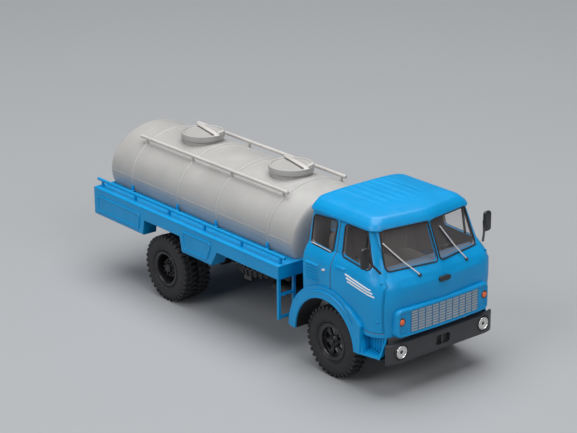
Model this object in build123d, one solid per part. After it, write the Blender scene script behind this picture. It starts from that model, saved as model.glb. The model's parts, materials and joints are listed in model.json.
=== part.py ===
# Scale model of a cab-over two-axle tanker truck, in millimetres
# X runs forward, Y to the left and Z up, from the ground below the front axle
import math
import os

from build123d import *

os.makedirs("parts", exist_ok=True)

# Wheels
TYRE_R = 12.65
TYRE_W = 5.9
TYRE_SIDES = 28
LUG_COUNT = 36
LUG_DEPTH = 0.6
WHEELBASE = 91.1
FRONT_FACE_Y = 26.0
REAR_FACE_Y = 28.3
DUAL_GAP = 0.3
RIM_R = 6.9
RIM_LIP = 0.7
HUB_R = 2.5
RIM_SLOTS = 6
AXLE_PIN_R = 0.9
AXLE_FIT = 0.05

# Ladder frame and springs
FRAME_HALF_W = 10.0
RAIL_H = 4.4
RAIL_TOP_Z = 22.0
RAIL_FLANGE = 2.4
RAIL_WALL = 0.9
FRAME_FRONT_X = 21.0
FRAME_REAR_X = -131.5
CROSS_W = 2.4
PLINTH_HOLES_X = (18.0, -112.0)
PLINTH_HOLE_R = 0.8
PLINTH_HOLE_DEPTH = 4.0
PLINTH_BOSS_R = 2.0
SPRING_Y = 8.6
SPRING_W = 2.0
LEAF_T = 0.45
LEAF_COUNT = 4

# Cab
CAB_REAR_X = -14.8
CAB_WALL = 0.9
CAB_BOTTOM_Z = 21.2
BELT_Z = 43.0
DRIP_Z = 56.0
ROOF_TOP_Z = 60.8
REAR_CORNER_R = 1.8
NOSE_R = 4.0
POST_HALF = 0.75
SHUT_LINE_DEPTH = 0.3
SHUT_LINE_W = 0.45
DOOR_REAR_X = 0.6
DOOR_FRONT_X = 23.4

# Wheel arches and steps
ARCH_X = -1.6
ARCH_Z = 13.0
ARCH_R = 15.0
ARCH_OUTER_R = 19.2
ARCH_Y_IN = 17.4
ARCH_Y_OUT = 27.4
STEP_REAR_X = 16.4
STEP_FRONT_X = 24.3
STEP_FLOOR_Z = 14.2
STEP_REAR_Y = 27.2
STEP_FRONT_Y = 25.4
STEP_WALL = 0.8

# Bumper and grille panel
BUMPER_X = 27.5
BUMPER_HALF_W = 25.1
BUMPER_SWEEP = 2.9
BUMPER_TOP_Z = 19.4
BUMPER_BOTTOM_Z = 12.3
BUMPER_DEPTH = 3.4
LAMP_Y = 18.8
LAMP_Z = 16.3
LAMP_R = 2.3
LAMP_PROUD = 0.5
GRILLE_FACE_X = 28.5
GRILLE_BOW = 1.4
GRILLE_HALF_W = 20.6
GRILLE_TOP_Z = 30.9
GRILLE_BOTTOM_Z = 21.7
GRILLE_COLUMNS = 10
GRILLE_ROWS = 6
GRILLE_OPEN_HALF_W = 15.1
GRILLE_OPEN_TOP_Z = 29.7
GRILLE_OPEN_BOTTOM_Z = 22.9
GRILLE_BAR = 0.55
INDICATOR_Z = 26.9
INDICATOR_R = 1.1

# Platform
PLAT_FRONT_X = -24.4
PLAT_REAR_X = -136.2
PLAT_HALF_W = 28.4
PLAT_TOP_Z = 33.3
PLAT_BAND_Z = 28.4
DECK_T = 1.4
SKIRT_T = 1.2
LOCKER_BOTTOM_Z = 22.2
LOCKER_DEPTH = 6.2
LOCKER_BEVEL = 0.7
PANEL_DEPTH = 0.4
PANEL_GAP = 0.35
PANEL_PROUD = 0.12
BEARERS_X = (-128.0, -106.0, -76.4, -60.6, -27.4)
BEARER_W = 2.4
SIDE_RAIL_Y = 25.5
SIDE_RAIL_Z = 35.6
SIDE_RAIL_REAR_X = -137.4
SIDE_RAIL_FRONT_X = -24.2
RAIL_POST_PITCH = 21.5
LADDER_X = -25.4
LADDER_BOTTOM_Z = 13.3
LADDER_POSTS_Y = (-20.7, -27.4)
RUNGS_Z = (14.0, 22.3)

# Tank
TANK_A = 20.65
TANK_B = 15.5
TANK_Z = 39.05
TANK_REAR_X = -137.3
TANK_FRONT_X = -24.4
TANK_SIDES = 48
DOME = 2.6
DOME_FACE = 0.62
BANDS_X = (-121.2, -92.5, -69.2, -39.7)
BAND_W = 1.6
BAND_T = 0.4
HATCHES_X = (-103.6, -51.5)
HATCH_R = 8.3
HATCH_NECK_R = 7.5
HATCH_TOP_Z = 57.6
HATCH_LID_T = 2.0
LID_RECESS = 0.4
STRAP_ANGLE = -12.2
TANK_RAIL_Y = 13.4
TANK_RAIL_Z = 53.3
TANK_RAIL_R = 0.45
TANK_RAIL_REAR_X = -123.4
TANK_RAIL_FRONT_X = -37.5

# Spare wheel
SPARE_X = -44.4
SPARE_Y = -14.2
SPARE_Z = 23.4

parts = {}


# Shared shapes
def box(x0, x1, y0, y1, z0, z1):
    size = (x1 - x0, y1 - y0, z1 - z0)
    middle = ((x0 + x1) / 2, (y0 + y1) / 2, (z0 + z1) / 2)
    return Pos(*middle) * Box(*size)


def both_sides(solid):
    return solid + mirror(solid, about=Plane.XZ)


def rod_x(x0, x1, y, z, r):
    return Pos((x0 + x1) / 2, y, z) * Rot(0, 90, 0) * Cylinder(r, x1 - x0)


def rod_y(x, y0, y1, z, r):
    return Pos(x, (y0 + y1) / 2, z) * Rot(90, 0, 0) * Cylinder(r, y1 - y0)


def rod_z(x, y, z0, z1, r):
    return Pos(x, y, (z0 + z1) / 2) * Cylinder(r, z1 - z0)


def side_prism(points, y0, y1):
    # A closed outline in X and Z, extruded along Y
    face = make_face(Plane.XZ * Polyline(*points, close=True))
    return Pos(0, y1, 0) * extrude(face, y1 - y0, dir=(0, -1, 0))


def front_prism(points, x0, x1):
    # A closed outline in Y and Z, extruded along X
    face = make_face(Plane.YZ * Polyline(*points, close=True))
    return Pos(x0, 0, 0) * extrude(face, x1 - x0, dir=(1, 0, 0))


def rounded(points, radii, steps):
    # Each corner of a closed outline turned into chords of an arc of its own radius
    outline = []
    count = len(points)
    for i in range(count):
        corner = Vector(*points[i])
        to_before = (Vector(*points[i - 1]) - corner).normalized()
        to_after = (Vector(*points[(i + 1) % count]) - corner).normalized()
        half_angle = math.radians(to_before.get_angle(to_after) / 2)
        centre = corner + (to_before + to_after).normalized() * (radii[i] / math.sin(half_angle))
        start = corner + to_before * (radii[i] / math.tan(half_angle)) - centre
        cross = to_before.X * to_after.Y - to_before.Y * to_after.X
        turn = math.copysign(180 - 2 * math.degrees(half_angle), -cross)
        for k in range(steps + 1):
            point = centre + start.rotate(Axis.Z, turn * k / steps)
            outline.append((point.X, point.Y))
    return outline


def ring_of_points(radius_x, radius_y, count):
    angles = [2 * math.pi * i / count for i in range(count)]
    return [(radius_x * math.cos(a), radius_y * math.sin(a)) for a in angles]


def combined(solids):
    total = solids[0]
    for solid in solids[1:]:
        total = total + solid
    return total


# A wheel's outer face is at y = 0 and its centre at the origin
def across(y, points):
    plane = Plane((0, y, 0), x_dir=(1, 0, 0), z_dir=(0, -1, 0))
    return plane * make_face(Polyline(*points, close=True))


def tyre():
    # Flat-sided carcass with a V-grooved tread around it
    groove_r = TYRE_R - LUG_DEPTH
    carcass_stations = (
        # depth from the outer face, radius
        (0.0, TYRE_R - 3.2),
        (1.0, groove_r - 0.3),
        (TYRE_W - 1.0, groove_r - 0.3),
        (TYRE_W, TYRE_R - 3.2),
    )
    sections = [across(-depth, ring_of_points(r, r, TYRE_SIDES)) for depth, r in carcass_stations]
    carcass = loft(sections, ruled=True)
    tread_points = []
    for i in range(LUG_COUNT):
        for part_of_pitch, r in ((-0.5, groove_r), (-0.26, TYRE_R), (0.26, TYRE_R)):
            angle = 2 * math.pi * (i + part_of_pitch) / LUG_COUNT - math.pi / 2
            tread_points.append((r * math.cos(angle), r * math.sin(angle)))
    tread = extrude(across(-0.8, tread_points), TYRE_W - 1.6, dir=(0, -1, 0))
    return carcass + tread - rod_y(0, -TYRE_W - 1, 1, 0, RIM_R)


def turned(profile):
    # A closed profile of (depth from the outer face, radius) turned about the axle
    face = make_face(Polyline(*[(r, -depth) for depth, r in profile], close=True))
    return revolve(face, Axis.Y)


def rim_slots(depth, radius, length):
    # Square windows through the rim's disc
    slot = box(-1.1, 1.1, -depth - 2.2, -depth + 2.2, radius - length / 2, radius + length / 2)
    return [Rot(0, i * 360 / RIM_SLOTS, 0) * slot for i in range(RIM_SLOTS)]


def front_rim():
    # A shallow dish with a tall hub
    dish = 2.4
    inner = TYRE_W - RIM_LIP
    profile = (
        (RIM_LIP, RIM_R),
        (RIM_LIP, RIM_R - RIM_LIP),
        (dish, RIM_R - 1.7),
        (dish, HUB_R),
        (0.5, HUB_R - 0.4),
        (0.5, 0.0),
        (dish + 1.2, 0.0),
        (dish + 1.2, RIM_R - 1.7),
        (inner, RIM_R - RIM_LIP),
        (inner, RIM_R),
    )
    return turned(profile) - rim_slots(dish, 4.0, 1.6)


def rear_rim():
    # Two barrels back to back around a deep dish with a long hub
    dish = TYRE_W - 0.6
    inner = 2 * TYRE_W + DUAL_GAP - RIM_LIP
    profile = (
        (RIM_LIP, RIM_R),
        (RIM_LIP, RIM_R - RIM_LIP),
        (dish, RIM_R - 1.5),
        (dish, HUB_R + 0.5),
        (dish - 3.6, HUB_R - 0.5),
        (dish - 3.6, 0.0),
        (dish + 1.3, 0.0),
        (dish + 1.3, RIM_R - 1.5),
        (inner, RIM_R - RIM_LIP),
        (inner, RIM_R),
    )
    return turned(profile) - rim_slots(dish, 4.3, 1.5)


front_y_in = FRONT_FACE_Y - TYRE_W
rear_y_in = REAR_FACE_Y - 2 * TYRE_W - DUAL_GAP
tyre_solid = tyre()
front_tyre = Pos(0, FRONT_FACE_Y, TYRE_R) * tyre_solid
twin_tyres = []
for twin in range(2):
    twin_y = REAR_FACE_Y - twin * (TYRE_W + DUAL_GAP)
    twin_tyres.append(Pos(-WHEELBASE, twin_y, TYRE_R) * tyre_solid)
parts["front_tyres"] = Compound([front_tyre, mirror(front_tyre, about=Plane.XZ)])
parts["rear_tyres"] = Compound(twin_tyres + [mirror(one, about=Plane.XZ) for one in twin_tyres])

front_pin_half = FRONT_FACE_Y - 1.4
rear_pin_half = REAR_FACE_Y - TYRE_W + 1.6
front_pin = rod_y(0, -front_pin_half, front_pin_half, TYRE_R, AXLE_PIN_R)
rear_pin = rod_y(-WHEELBASE, -rear_pin_half, rear_pin_half, TYRE_R, AXLE_PIN_R)
parts["front_axle_pin"] = front_pin
parts["rear_axle_pin"] = rear_pin
parts["front_rims"] = both_sides(Pos(0, FRONT_FACE_Y, TYRE_R) * front_rim() - front_pin)
parts["rear_rims"] = both_sides(Pos(-WHEELBASE, REAR_FACE_Y, TYRE_R) * rear_rim() - rear_pin)

# Ladder frame: two channels, cross members and a pair of screw bosses for a plinth
rail_bottom_z = RAIL_TOP_Z - RAIL_H
channel = box(FRAME_REAR_X, FRAME_FRONT_X, FRAME_HALF_W - RAIL_FLANGE, FRAME_HALF_W, rail_bottom_z, RAIL_TOP_Z)
channel -= box(
    FRAME_REAR_X - 1,
    FRAME_FRONT_X + 1,
    FRAME_HALF_W - RAIL_FLANGE - 1,
    FRAME_HALF_W - RAIL_WALL,
    rail_bottom_z + RAIL_WALL,
    RAIL_TOP_Z - RAIL_WALL,
)
frame = both_sides(channel)
cross_half = FRAME_HALF_W - RAIL_WALL / 2
for x in PLINTH_HOLES_X + (-26.0, -46.0, -68.0, -130.2):
    frame += box(
        x - CROSS_W / 2, x + CROSS_W / 2, -cross_half, cross_half, rail_bottom_z + 0.6, RAIL_TOP_Z - 0.6
    )
for x in PLINTH_HOLES_X:
    frame += rod_z(x, 0, rail_bottom_z, RAIL_TOP_Z, PLINTH_BOSS_R)
for x in PLINTH_HOLES_X:
    frame -= rod_z(x, 0, rail_bottom_z - 1, rail_bottom_z + PLINTH_HOLE_DEPTH, PLINTH_HOLE_R)
parts["chassis_frame"] = frame


def leaf_spring(x_mid, half_length, z_low, rise):
    # Curved leaves stacked below the main leaf, each shorter than the one above, between two hangers
    thickness = LEAF_T + 0.02
    leaves = []
    for i in range(LEAF_COUNT):
        half = half_length * (1 - 0.85 * i / LEAF_COUNT)
        z_mid = z_low - i * LEAF_T
        z_end = z_mid + rise * (half / half_length) ** 2
        lower = ThreePointArc((x_mid - half, z_end), (x_mid, z_mid), (x_mid + half, z_end))
        upper = ThreePointArc(
            (x_mid + half, z_end + thickness), (x_mid, z_mid + thickness), (x_mid - half, z_end + thickness)
        )
        ends = Line((x_mid + half, z_end), (x_mid + half, z_end + thickness))
        ends += Line((x_mid - half, z_end + thickness), (x_mid - half, z_end))
        face = make_face(Plane.XZ * (lower + ends + upper))
        leaves.append(Pos(0, SPRING_Y - SPRING_W / 2, 0) * extrude(face, SPRING_W, dir=(0, 1, 0)))
    for x in (x_mid - half_length, x_mid + half_length):
        hanger_y = (SPRING_Y - SPRING_W / 2, SPRING_Y + SPRING_W / 2)
        leaves.append(box(x - 1, x + 1, *hanger_y, z_low - 0.3, rail_bottom_z))
    return combined(leaves)


# Front axle beam and rear axle housing, with the leaf springs on them
BEAM_H = 3.2
HOUSING_R = 2.2
BANJO_R = 4.6
leaf_stack = (LEAF_COUNT - 1) * LEAF_T
beam_half = front_y_in - 0.4
beam = box(-1.5, 1.5, -beam_half, beam_half, TYRE_R - BEAM_H / 2, TYRE_R + BEAM_H / 2)
beam -= rod_y(0, -beam_half - 1, beam_half + 1, TYRE_R, AXLE_PIN_R + AXLE_FIT)
parts["front_axle_beam"] = beam
parts["front_springs"] = both_sides(leaf_spring(0, 15.0, TYRE_R + BEAM_H / 2 + leaf_stack, 0.4))

rear_half = rear_y_in - 0.5
banjo = rod_y(-WHEELBASE, -2.6, 2.6, TYRE_R, BANJO_R)
housing = rod_y(-WHEELBASE, -rear_half, rear_half, TYRE_R, HOUSING_R) + banjo
housing -= rod_y(-WHEELBASE, -rear_half - 1, rear_half + 1, TYRE_R, AXLE_PIN_R + AXLE_FIT)
parts["rear_axle_housing"] = housing
parts["rear_springs"] = both_sides(leaf_spring(-WHEELBASE, 17.0, TYRE_R + HOUSING_R + leaf_stack, 0.4))

# Engine, gearbox and propeller shaft
engine = box(-11.0, 14.0, -5.4, 5.4, 15.8, 33.0)
parts["engine_block"] = engine - box(-1.9, 1.9, -6, 6, 15, 15.9)
gearbox = box(-24.0, -11.0, -3.6, 3.6, 14.6, 21.0)
shaft_start = Vector(-23.5, 0, 16.2)
shaft_end = Vector(-WHEELBASE + BANJO_R - 0.4, 0, TYRE_R + 0.6)
shaft_section = Plane(shaft_start, z_dir=shaft_end - shaft_start) * Circle(0.9)
shaft = sweep(shaft_section, path=Line(shaft_start, shaft_end))
parts["gearbox_driveshaft"] = gearbox + shaft - housing

# The cab's plan at each height: a shallow V across the front, with rounded corners
CAB_LEVELS = (
    # z, nose x, depth of the V, half width, front corner radius
    (CAB_BOTTOM_Z, 26.4, 1.8, 25.9, 6.5),
    (31.0, 27.5, 1.8, 26.3, 7.2),
    (38.0, 27.5, 2.1, 26.4, 7.2),
    (40.6, 26.5, 2.9, 26.0, 7.0),
    (BELT_Z, 25.2, 4.2, 24.9, 5.6),
    (BELT_Z + 1.6, 24.4, 4.3, 23.5, 4.5),
    (DRIP_Z, 19.4, 3.3, 21.4, 3.5),
)
ROOF_LEVELS = (
    # z, nose x, depth of the V, half width, front corner radius, how far behind the cab's rear
    (DRIP_Z - 0.5, 20.0, 3.3, 21.8, 3.6, 0.5),
    (DRIP_Z + 0.4, 20.0, 3.3, 21.9, 3.6, 0.6),
    (DRIP_Z + 2.2, 17.8, 3.0, 19.6, 3.8, -0.2),
    (ROOF_TOP_Z - 1.2, 14.2, 2.4, 15.2, 4.0, -0.8),
    (ROOF_TOP_Z - 0.4, 10.5, 1.8, 11.4, 3.6, -1.6),
    (ROOF_TOP_Z, 6.0, 1.2, 6.4, 3.0, -2.6),
)


def cab_section(z, nose, bow, half, corner_r, rear, inset):
    nose = nose - inset
    half = half - inset
    corner_x = nose - bow
    points = [(rear, -half), (corner_x, -half), (nose, 0), (corner_x, half), (rear, half)]
    radii = [REAR_CORNER_R - inset, corner_r - inset, NOSE_R, corner_r - inset, REAR_CORNER_R - inset]
    return Pos(0, 0, z) * make_face(Polyline(*rounded(points, radii, 4), close=True))


def cab_loft(inset):
    sections = [cab_section(*level, CAB_REAR_X + inset, inset) for level in CAB_LEVELS]
    return loft(sections, ruled=True)


def roof_loft(inset, drop):
    sections = []
    for z, nose, bow, half, corner_r, behind in ROOF_LEVELS:
        sections.append(cab_section(z - drop, nose, bow, half, corner_r, CAB_REAR_X - behind + inset, inset))
    return loft(sections, ruled=True)


cab_outer = cab_loft(0)
cab_inner = cab_loft(CAB_WALL)
roof_outer = roof_loft(0, 0)
cab = (cab_outer - cab_inner) + (roof_outer - roof_loft(CAB_WALL, CAB_WALL)) - cab_inner
cab -= box(CAB_REAR_X - 5, 35, -35, 35, 10, CAB_BOTTOM_Z + 0.01)

# Raised flutes along the roof
FLUTE_H = 0.2
raised_roof = Pos(0, 0, FLUTE_H) * roof_outer
for i in range(-3, 4):
    flute_y = i * 3.4
    flute = box(CAB_REAR_X + 3, 6.0, flute_y - 0.5, flute_y + 0.5, DRIP_Z + 2, ROOF_TOP_Z + 1)
    cab += (flute & raised_roof) - roof_outer

# Window openings, in X and Z on the sides and in Y and Z at the front and rear
DOOR_WINDOW = [(3.6, 44.5), (18.2, 43.3), (13.3, 55.2), (3.0, 54.6)]
QUARTER_WINDOW = [(-12.3, 44.7), (-1.5, 44.2), (-1.1, 54.7), (-12.8, 53.9)]
SCREEN_PANE = [(POST_HALF, 43.2), (20.2, 43.2), (18.9, 55.6), (POST_HALF, 55.6)]
REAR_WINDOW = [(-14.0, 45.5), (14.0, 45.5), (13.0, 53.5), (-13.0, 53.5)]
WINDOW_R = 1.3
window_radii = [WINDOW_R] * 4
door_cut = side_prism(rounded(DOOR_WINDOW, window_radii, 3), 15, 32)
quarter_cut = side_prism(rounded(QUARTER_WINDOW, window_radii, 3), 15, 32)
screen_cut = front_prism(rounded(SCREEN_PANE, window_radii, 3), 10, 35)
rear_cut = front_prism(rounded(REAR_WINDOW, window_radii, 3), CAB_REAR_X - 4, CAB_REAR_X + 4)
side_cuts = both_sides(door_cut + quarter_cut)
front_cuts = both_sides(screen_cut)
cab = cab - side_cuts - front_cuts - rear_cut


def door_outline(grow):
    # The shut line around a door, from the sill up round the window
    rear = DOOR_REAR_X - grow
    front = DOOR_FRONT_X + grow
    return [
        (rear, CAB_BOTTOM_Z + 1.8 - grow),
        (front, CAB_BOTTOM_Z + 1.8 - grow),
        (front + 0.6, BELT_Z - 4.0),
        (front - 2.4, BELT_Z + 0.6),
        (15.2 + grow, DRIP_Z - 0.9 + grow),
        (rear, DRIP_Z - 1.0 + grow),
    ]


# Door shut lines, sunk into the sides
skin = cab_outer - cab_loft(SHUT_LINE_DEPTH)
door_ring = side_prism(door_outline(SHUT_LINE_W), 18, 32) - side_prism(door_outline(0), 17, 33)
cab -= both_sides(door_ring & skin)

# Air louvres behind the doors
for i in range(6):
    louvre_z = 32.9 + i * 1.15
    louvre = front_prism([(26.0, louvre_z + 0.7), (26.0, louvre_z), (26.85, louvre_z)], -12.2, -5.6)
    cab += both_sides(louvre)

# Wheel arch cut and the clearance for the ladder frame
arch_cut = rod_y(ARCH_X, ARCH_Y_IN, 35, ARCH_Z, ARCH_OUTER_R)
arch_cut += box(ARCH_X, STEP_REAR_X, 15, 35, 5, 24.0)
cab -= both_sides(arch_cut)
cab -= box(CAB_REAR_X - 2, 0, -FRAME_HALF_W - 1, FRAME_HALF_W + 1, 10, RAIL_TOP_Z + 0.4)
parts["cab_shell"] = cab

GLASS_SET_IN = 0.3
GLASS_T = 0.4
glass_shell = cab_loft(GLASS_SET_IN) - cab_loft(GLASS_SET_IN + GLASS_T)
parts["side_glass"] = glass_shell & side_cuts
parts["windscreen_glass"] = glass_shell & front_cuts
parts["rear_glass"] = glass_shell & rear_cut

# Arches: a liner over the wheel, two stepped flares and a front leg
arch = rod_y(ARCH_X, ARCH_Y_IN, ARCH_Y_OUT, ARCH_Z, ARCH_R + 0.9)
arch += rod_y(ARCH_X, 25.2, ARCH_Y_OUT - 0.5, ARCH_Z, ARCH_OUTER_R)
arch += rod_y(ARCH_X, 25.2, ARCH_Y_OUT, ARCH_Z, ARCH_R + 2.6)
arch += box(ARCH_X, STEP_REAR_X, 22.0, ARCH_Y_OUT, STEP_FLOOR_Z, 24.0)
arch -= rod_y(ARCH_X, 10, 35, ARCH_Z, ARCH_R)
arch -= box(-30, ARCH_X, 10, 35, -30, ARCH_Z)
arch -= box(ARCH_X - 1, 30, 10, 35, -30, STEP_FLOOR_Z)
parts["wheel_arches"] = both_sides(arch)

# Bumper with swept ends, lamp recesses and a towing slot with a bar
bumper_corner_x = BUMPER_X - BUMPER_SWEEP
half_plan = [
    (BUMPER_X, 0),
    (BUMPER_X, BUMPER_HALF_W - 6.5),
    (BUMPER_X - 0.7, BUMPER_HALF_W - 2.8),
    (bumper_corner_x, BUMPER_HALF_W),
    (bumper_corner_x - 3.0, BUMPER_HALF_W),
    (BUMPER_X - BUMPER_DEPTH, BUMPER_HALF_W - 3),
    (BUMPER_X - BUMPER_DEPTH, 0),
]
bumper_height = BUMPER_TOP_Z - BUMPER_BOTTOM_Z
bumper = Pos(0, 0, BUMPER_BOTTOM_Z) * extrude(make_face(Polyline(*half_plan, close=True)), bumper_height)
bumper = both_sides(bumper)
SLOT = [(-3.2, 14.2), (3.2, 14.2), (3.2, 17.6), (-3.2, 17.6)]
bumper -= front_prism(rounded(SLOT, [1.0] * 4, 3), BUMPER_X - 1.6, BUMPER_X + 1)
bumper += box(BUMPER_X - 1.8, BUMPER_X - 0.4, -0.45, 0.45, 14.0, 17.8)
for y in (-LAMP_Y, LAMP_Y):
    bumper -= rod_x(BUMPER_X - 1.6, BUMPER_X + 1, y, LAMP_Z, LAMP_R + 0.1)
bracket = box(FRAME_FRONT_X - 0.2, BUMPER_X - BUMPER_DEPTH + 0.5, 6.6, 9.4, 14.0, 19.0)
bumper += both_sides(bracket)
bumper -= frame
parts["front_bumper"] = bumper

# Steps below the doors: a floor, a ribbed back and a front wall, open outward
step_plan = [
    (STEP_REAR_X, 22.0),
    (STEP_FRONT_X, 22.0),
    (STEP_FRONT_X, STEP_FRONT_Y),
    (STEP_REAR_X, STEP_REAR_Y),
]
step = extrude(make_face(Polyline(*step_plan, close=True)), 23.6 - STEP_FLOOR_Z)
step = Pos(0, 0, STEP_FLOOR_Z) * step
step -= box(
    STEP_REAR_X - 0.1,
    STEP_FRONT_X - STEP_WALL,
    22.0 + STEP_WALL,
    STEP_REAR_Y + 1,
    STEP_FLOOR_Z + STEP_WALL,
    24.0,
)
for i in range(3):
    rib_z = STEP_FLOOR_Z + 3.0 + i * 2.0
    step += box(STEP_REAR_X, STEP_FRONT_X - STEP_WALL, 22.0, 22.0 + STEP_WALL + 0.35, rib_z, rib_z + 0.6)
for i in range(3):
    rib_x = STEP_REAR_X + 1.6 + i * 2.0
    floor_z = STEP_FLOOR_Z + STEP_WALL
    step += box(rib_x, rib_x + 0.6, 22.4, STEP_FRONT_Y, floor_z - 0.1, floor_z + 0.3)
step = step - cab_outer - arch - bumper
parts["cab_steps"] = both_sides(step)

# Headlamps in the bumper
bezels = []
lenses = []
for y in (-LAMP_Y, LAMP_Y):
    bezel = rod_x(BUMPER_X - 1.6, BUMPER_X + 0.3, y, LAMP_Z, LAMP_R)
    bezels.append(bezel - rod_x(BUMPER_X - 0.6, BUMPER_X + 1, y, LAMP_Z, LAMP_R - 0.5))
    lenses.append(rod_x(BUMPER_X - 0.6, BUMPER_X + 0.1, y, LAMP_Z, LAMP_R - 0.55))
parts["headlamp_bezels"] = combined(bezels)
parts["headlamp_lenses"] = combined(lenses)

# Grille panel: a raised panel, bowed like the cab, with a grid of openings over a silver insert
PANEL = [
    (-GRILLE_HALF_W, GRILLE_BOTTOM_Z),
    (GRILLE_HALF_W, GRILLE_BOTTOM_Z),
    (GRILLE_HALF_W, GRILLE_TOP_Z),
    (-GRILLE_HALF_W, GRILLE_TOP_Z),
]
INSERT_DEPTH = 0.5
INSERT_T = 0.4
PANEL_STEP = 0.4


def grille_x(y):
    return GRILLE_FACE_X - GRILLE_BOW * abs(y) / GRILLE_HALF_W


def bowed(back_x, set_in):
    # All that lies behind the bowed face, set in by the given depth
    end_x = grille_x(GRILLE_HALF_W) - set_in
    plan = [
        (back_x, -GRILLE_HALF_W),
        (end_x, -GRILLE_HALF_W),
        (GRILLE_FACE_X - set_in, 0),
        (end_x, GRILLE_HALF_W),
        (back_x, GRILLE_HALF_W),
    ]
    height = GRILLE_TOP_Z - GRILLE_BOTTOM_Z
    return Pos(0, 0, GRILLE_BOTTOM_Z) * extrude(make_face(Polyline(*plan, close=True)), height)


panel_back_x = GRILLE_FACE_X - 4.0
panel_outline = rounded(PANEL, [2.2] * 4, 4)
panel = front_prism(panel_outline, panel_back_x, GRILLE_FACE_X) & bowed(panel_back_x, PANEL_STEP)
raised_outline = [(y * (1 - PANEL_STEP / GRILLE_HALF_W), z) for y, z in panel_outline]
raised_outline = [
    (y, min(max(z, GRILLE_BOTTOM_Z + PANEL_STEP), GRILLE_TOP_Z - PANEL_STEP)) for y, z in raised_outline
]
panel += front_prism(raised_outline, panel_back_x, GRILLE_FACE_X) & bowed(panel_back_x, 0)
panel -= cab_outer
pitch_y = 2 * GRILLE_OPEN_HALF_W / GRILLE_COLUMNS
pitch_z = (GRILLE_OPEN_TOP_Z - GRILLE_OPEN_BOTTOM_Z) / GRILLE_ROWS
openings = []
for column in range(GRILLE_COLUMNS):
    for row in range(GRILLE_ROWS):
        y = -GRILLE_OPEN_HALF_W + (column + 0.5) * pitch_y
        z = GRILLE_OPEN_BOTTOM_Z + (row + 0.5) * pitch_z
        hole = Box(2 * INSERT_DEPTH, pitch_y - GRILLE_BAR, pitch_z - GRILLE_BAR)
        openings.append(Pos(grille_x(y), y, z) * hole)
panel -= openings
for y in (-LAMP_Y, LAMP_Y):
    panel -= rod_x(grille_x(y) - 0.5, grille_x(y) + 1, y, INDICATOR_Z, INDICATOR_R + 0.1)
insert_window = box(
    panel_back_x,
    GRILLE_FACE_X,
    -GRILLE_OPEN_HALF_W,
    GRILLE_OPEN_HALF_W,
    GRILLE_OPEN_BOTTOM_Z,
    GRILLE_OPEN_TOP_Z,
)
insert = bowed(panel_back_x, INSERT_DEPTH) - bowed(panel_back_x, INSERT_DEPTH + INSERT_T)
insert = insert & insert_window
parts["grille_panel"] = panel - insert
parts["grille_insert"] = insert - cab_outer
indicators = []
for y in (-LAMP_Y, LAMP_Y):
    indicators.append(rod_x(grille_x(y) - 0.5, grille_x(y) + LAMP_PROUD, y, INDICATOR_Z, INDICATOR_R))
parts["indicator_lamps"] = combined(indicators)
BOSS = [(-2.4, 37.0), (2.4, 37.0), (2.4, 38.6), (-2.4, 38.6)]
parts["badge_boss"] = front_prism(rounded(BOSS, [0.6] * 4, 2), 26.0, 28.2) - cab_outer

# Platform: a deck with a deep side band, bearers down to the frame, and four lockers
plat = box(PLAT_REAR_X, PLAT_FRONT_X, -PLAT_HALF_W, PLAT_HALF_W, PLAT_BAND_Z, PLAT_TOP_Z)
plat -= box(
    PLAT_REAR_X + SKIRT_T,
    PLAT_FRONT_X - SKIRT_T,
    -PLAT_HALF_W + SKIRT_T,
    PLAT_HALF_W - SKIRT_T,
    PLAT_BAND_Z - 1,
    PLAT_TOP_Z - DECK_T,
)
locker_top_z = PLAT_TOP_Z - 0.5
REAR_LOCKER = [
    (PLAT_REAR_X, locker_top_z),
    (PLAT_REAR_X, LOCKER_BOTTOM_Z),
    (-104.7, LOCKER_BOTTOM_Z),
    (-102.4, locker_top_z),
]
FRONT_LOCKER = [
    (-82.2, locker_top_z),
    (-79.9, LOCKER_BOTTOM_Z),
    (-62.9, LOCKER_BOTTOM_Z),
    (-59.0, PLAT_BAND_Z),
    (-59.0, locker_top_z),
]
REAR_PANEL = [(-133.3, 30.1), (-133.3, 24.4), (-107.2, 24.4), (-106.3, 30.1)]
FRONT_PANEL = [(-79.2, 30.7), (-78.1, 24.4), (-65.0, 24.4), (-62.4, 30.7)]
for outline in (REAR_LOCKER, FRONT_LOCKER):
    plat += both_sides(side_prism(outline, PLAT_HALF_W - LOCKER_DEPTH, PLAT_HALF_W))
for outline in (REAR_PANEL, FRONT_PANEL):
    door = side_prism(rounded(outline, [0.8] * 4, 3), PLAT_HALF_W - PANEL_DEPTH, PLAT_HALF_W + PANEL_PROUD)
    groove = offset(door.faces().sort_by(Axis.Y)[0], PANEL_GAP)
    plat -= both_sides(extrude(groove, 2, dir=(0, 1, 0)))
    plat += both_sides(door)
bevel = front_prism(
    [
        (PLAT_HALF_W - LOCKER_BEVEL, LOCKER_BOTTOM_Z - 0.1),
        (PLAT_HALF_W + 0.1, LOCKER_BOTTOM_Z - 0.1),
        (PLAT_HALF_W + 0.1, LOCKER_BOTTOM_Z + LOCKER_BEVEL),
    ],
    PLAT_REAR_X - 1,
    -55.0,
)
plat -= both_sides(bevel)
deck_half = PLAT_HALF_W - SKIRT_T / 2
for x in BEARERS_X:
    bearer = (x - BEARER_W / 2, x + BEARER_W / 2)
    plat += box(*bearer, -deck_half, deck_half, PLAT_BAND_Z, PLAT_TOP_Z - DECK_T / 2)
    plat += box(*bearer, -FRAME_HALF_W, FRAME_HALF_W, RAIL_TOP_Z, PLAT_BAND_Z + 1)
parts["platform"] = plat

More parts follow.
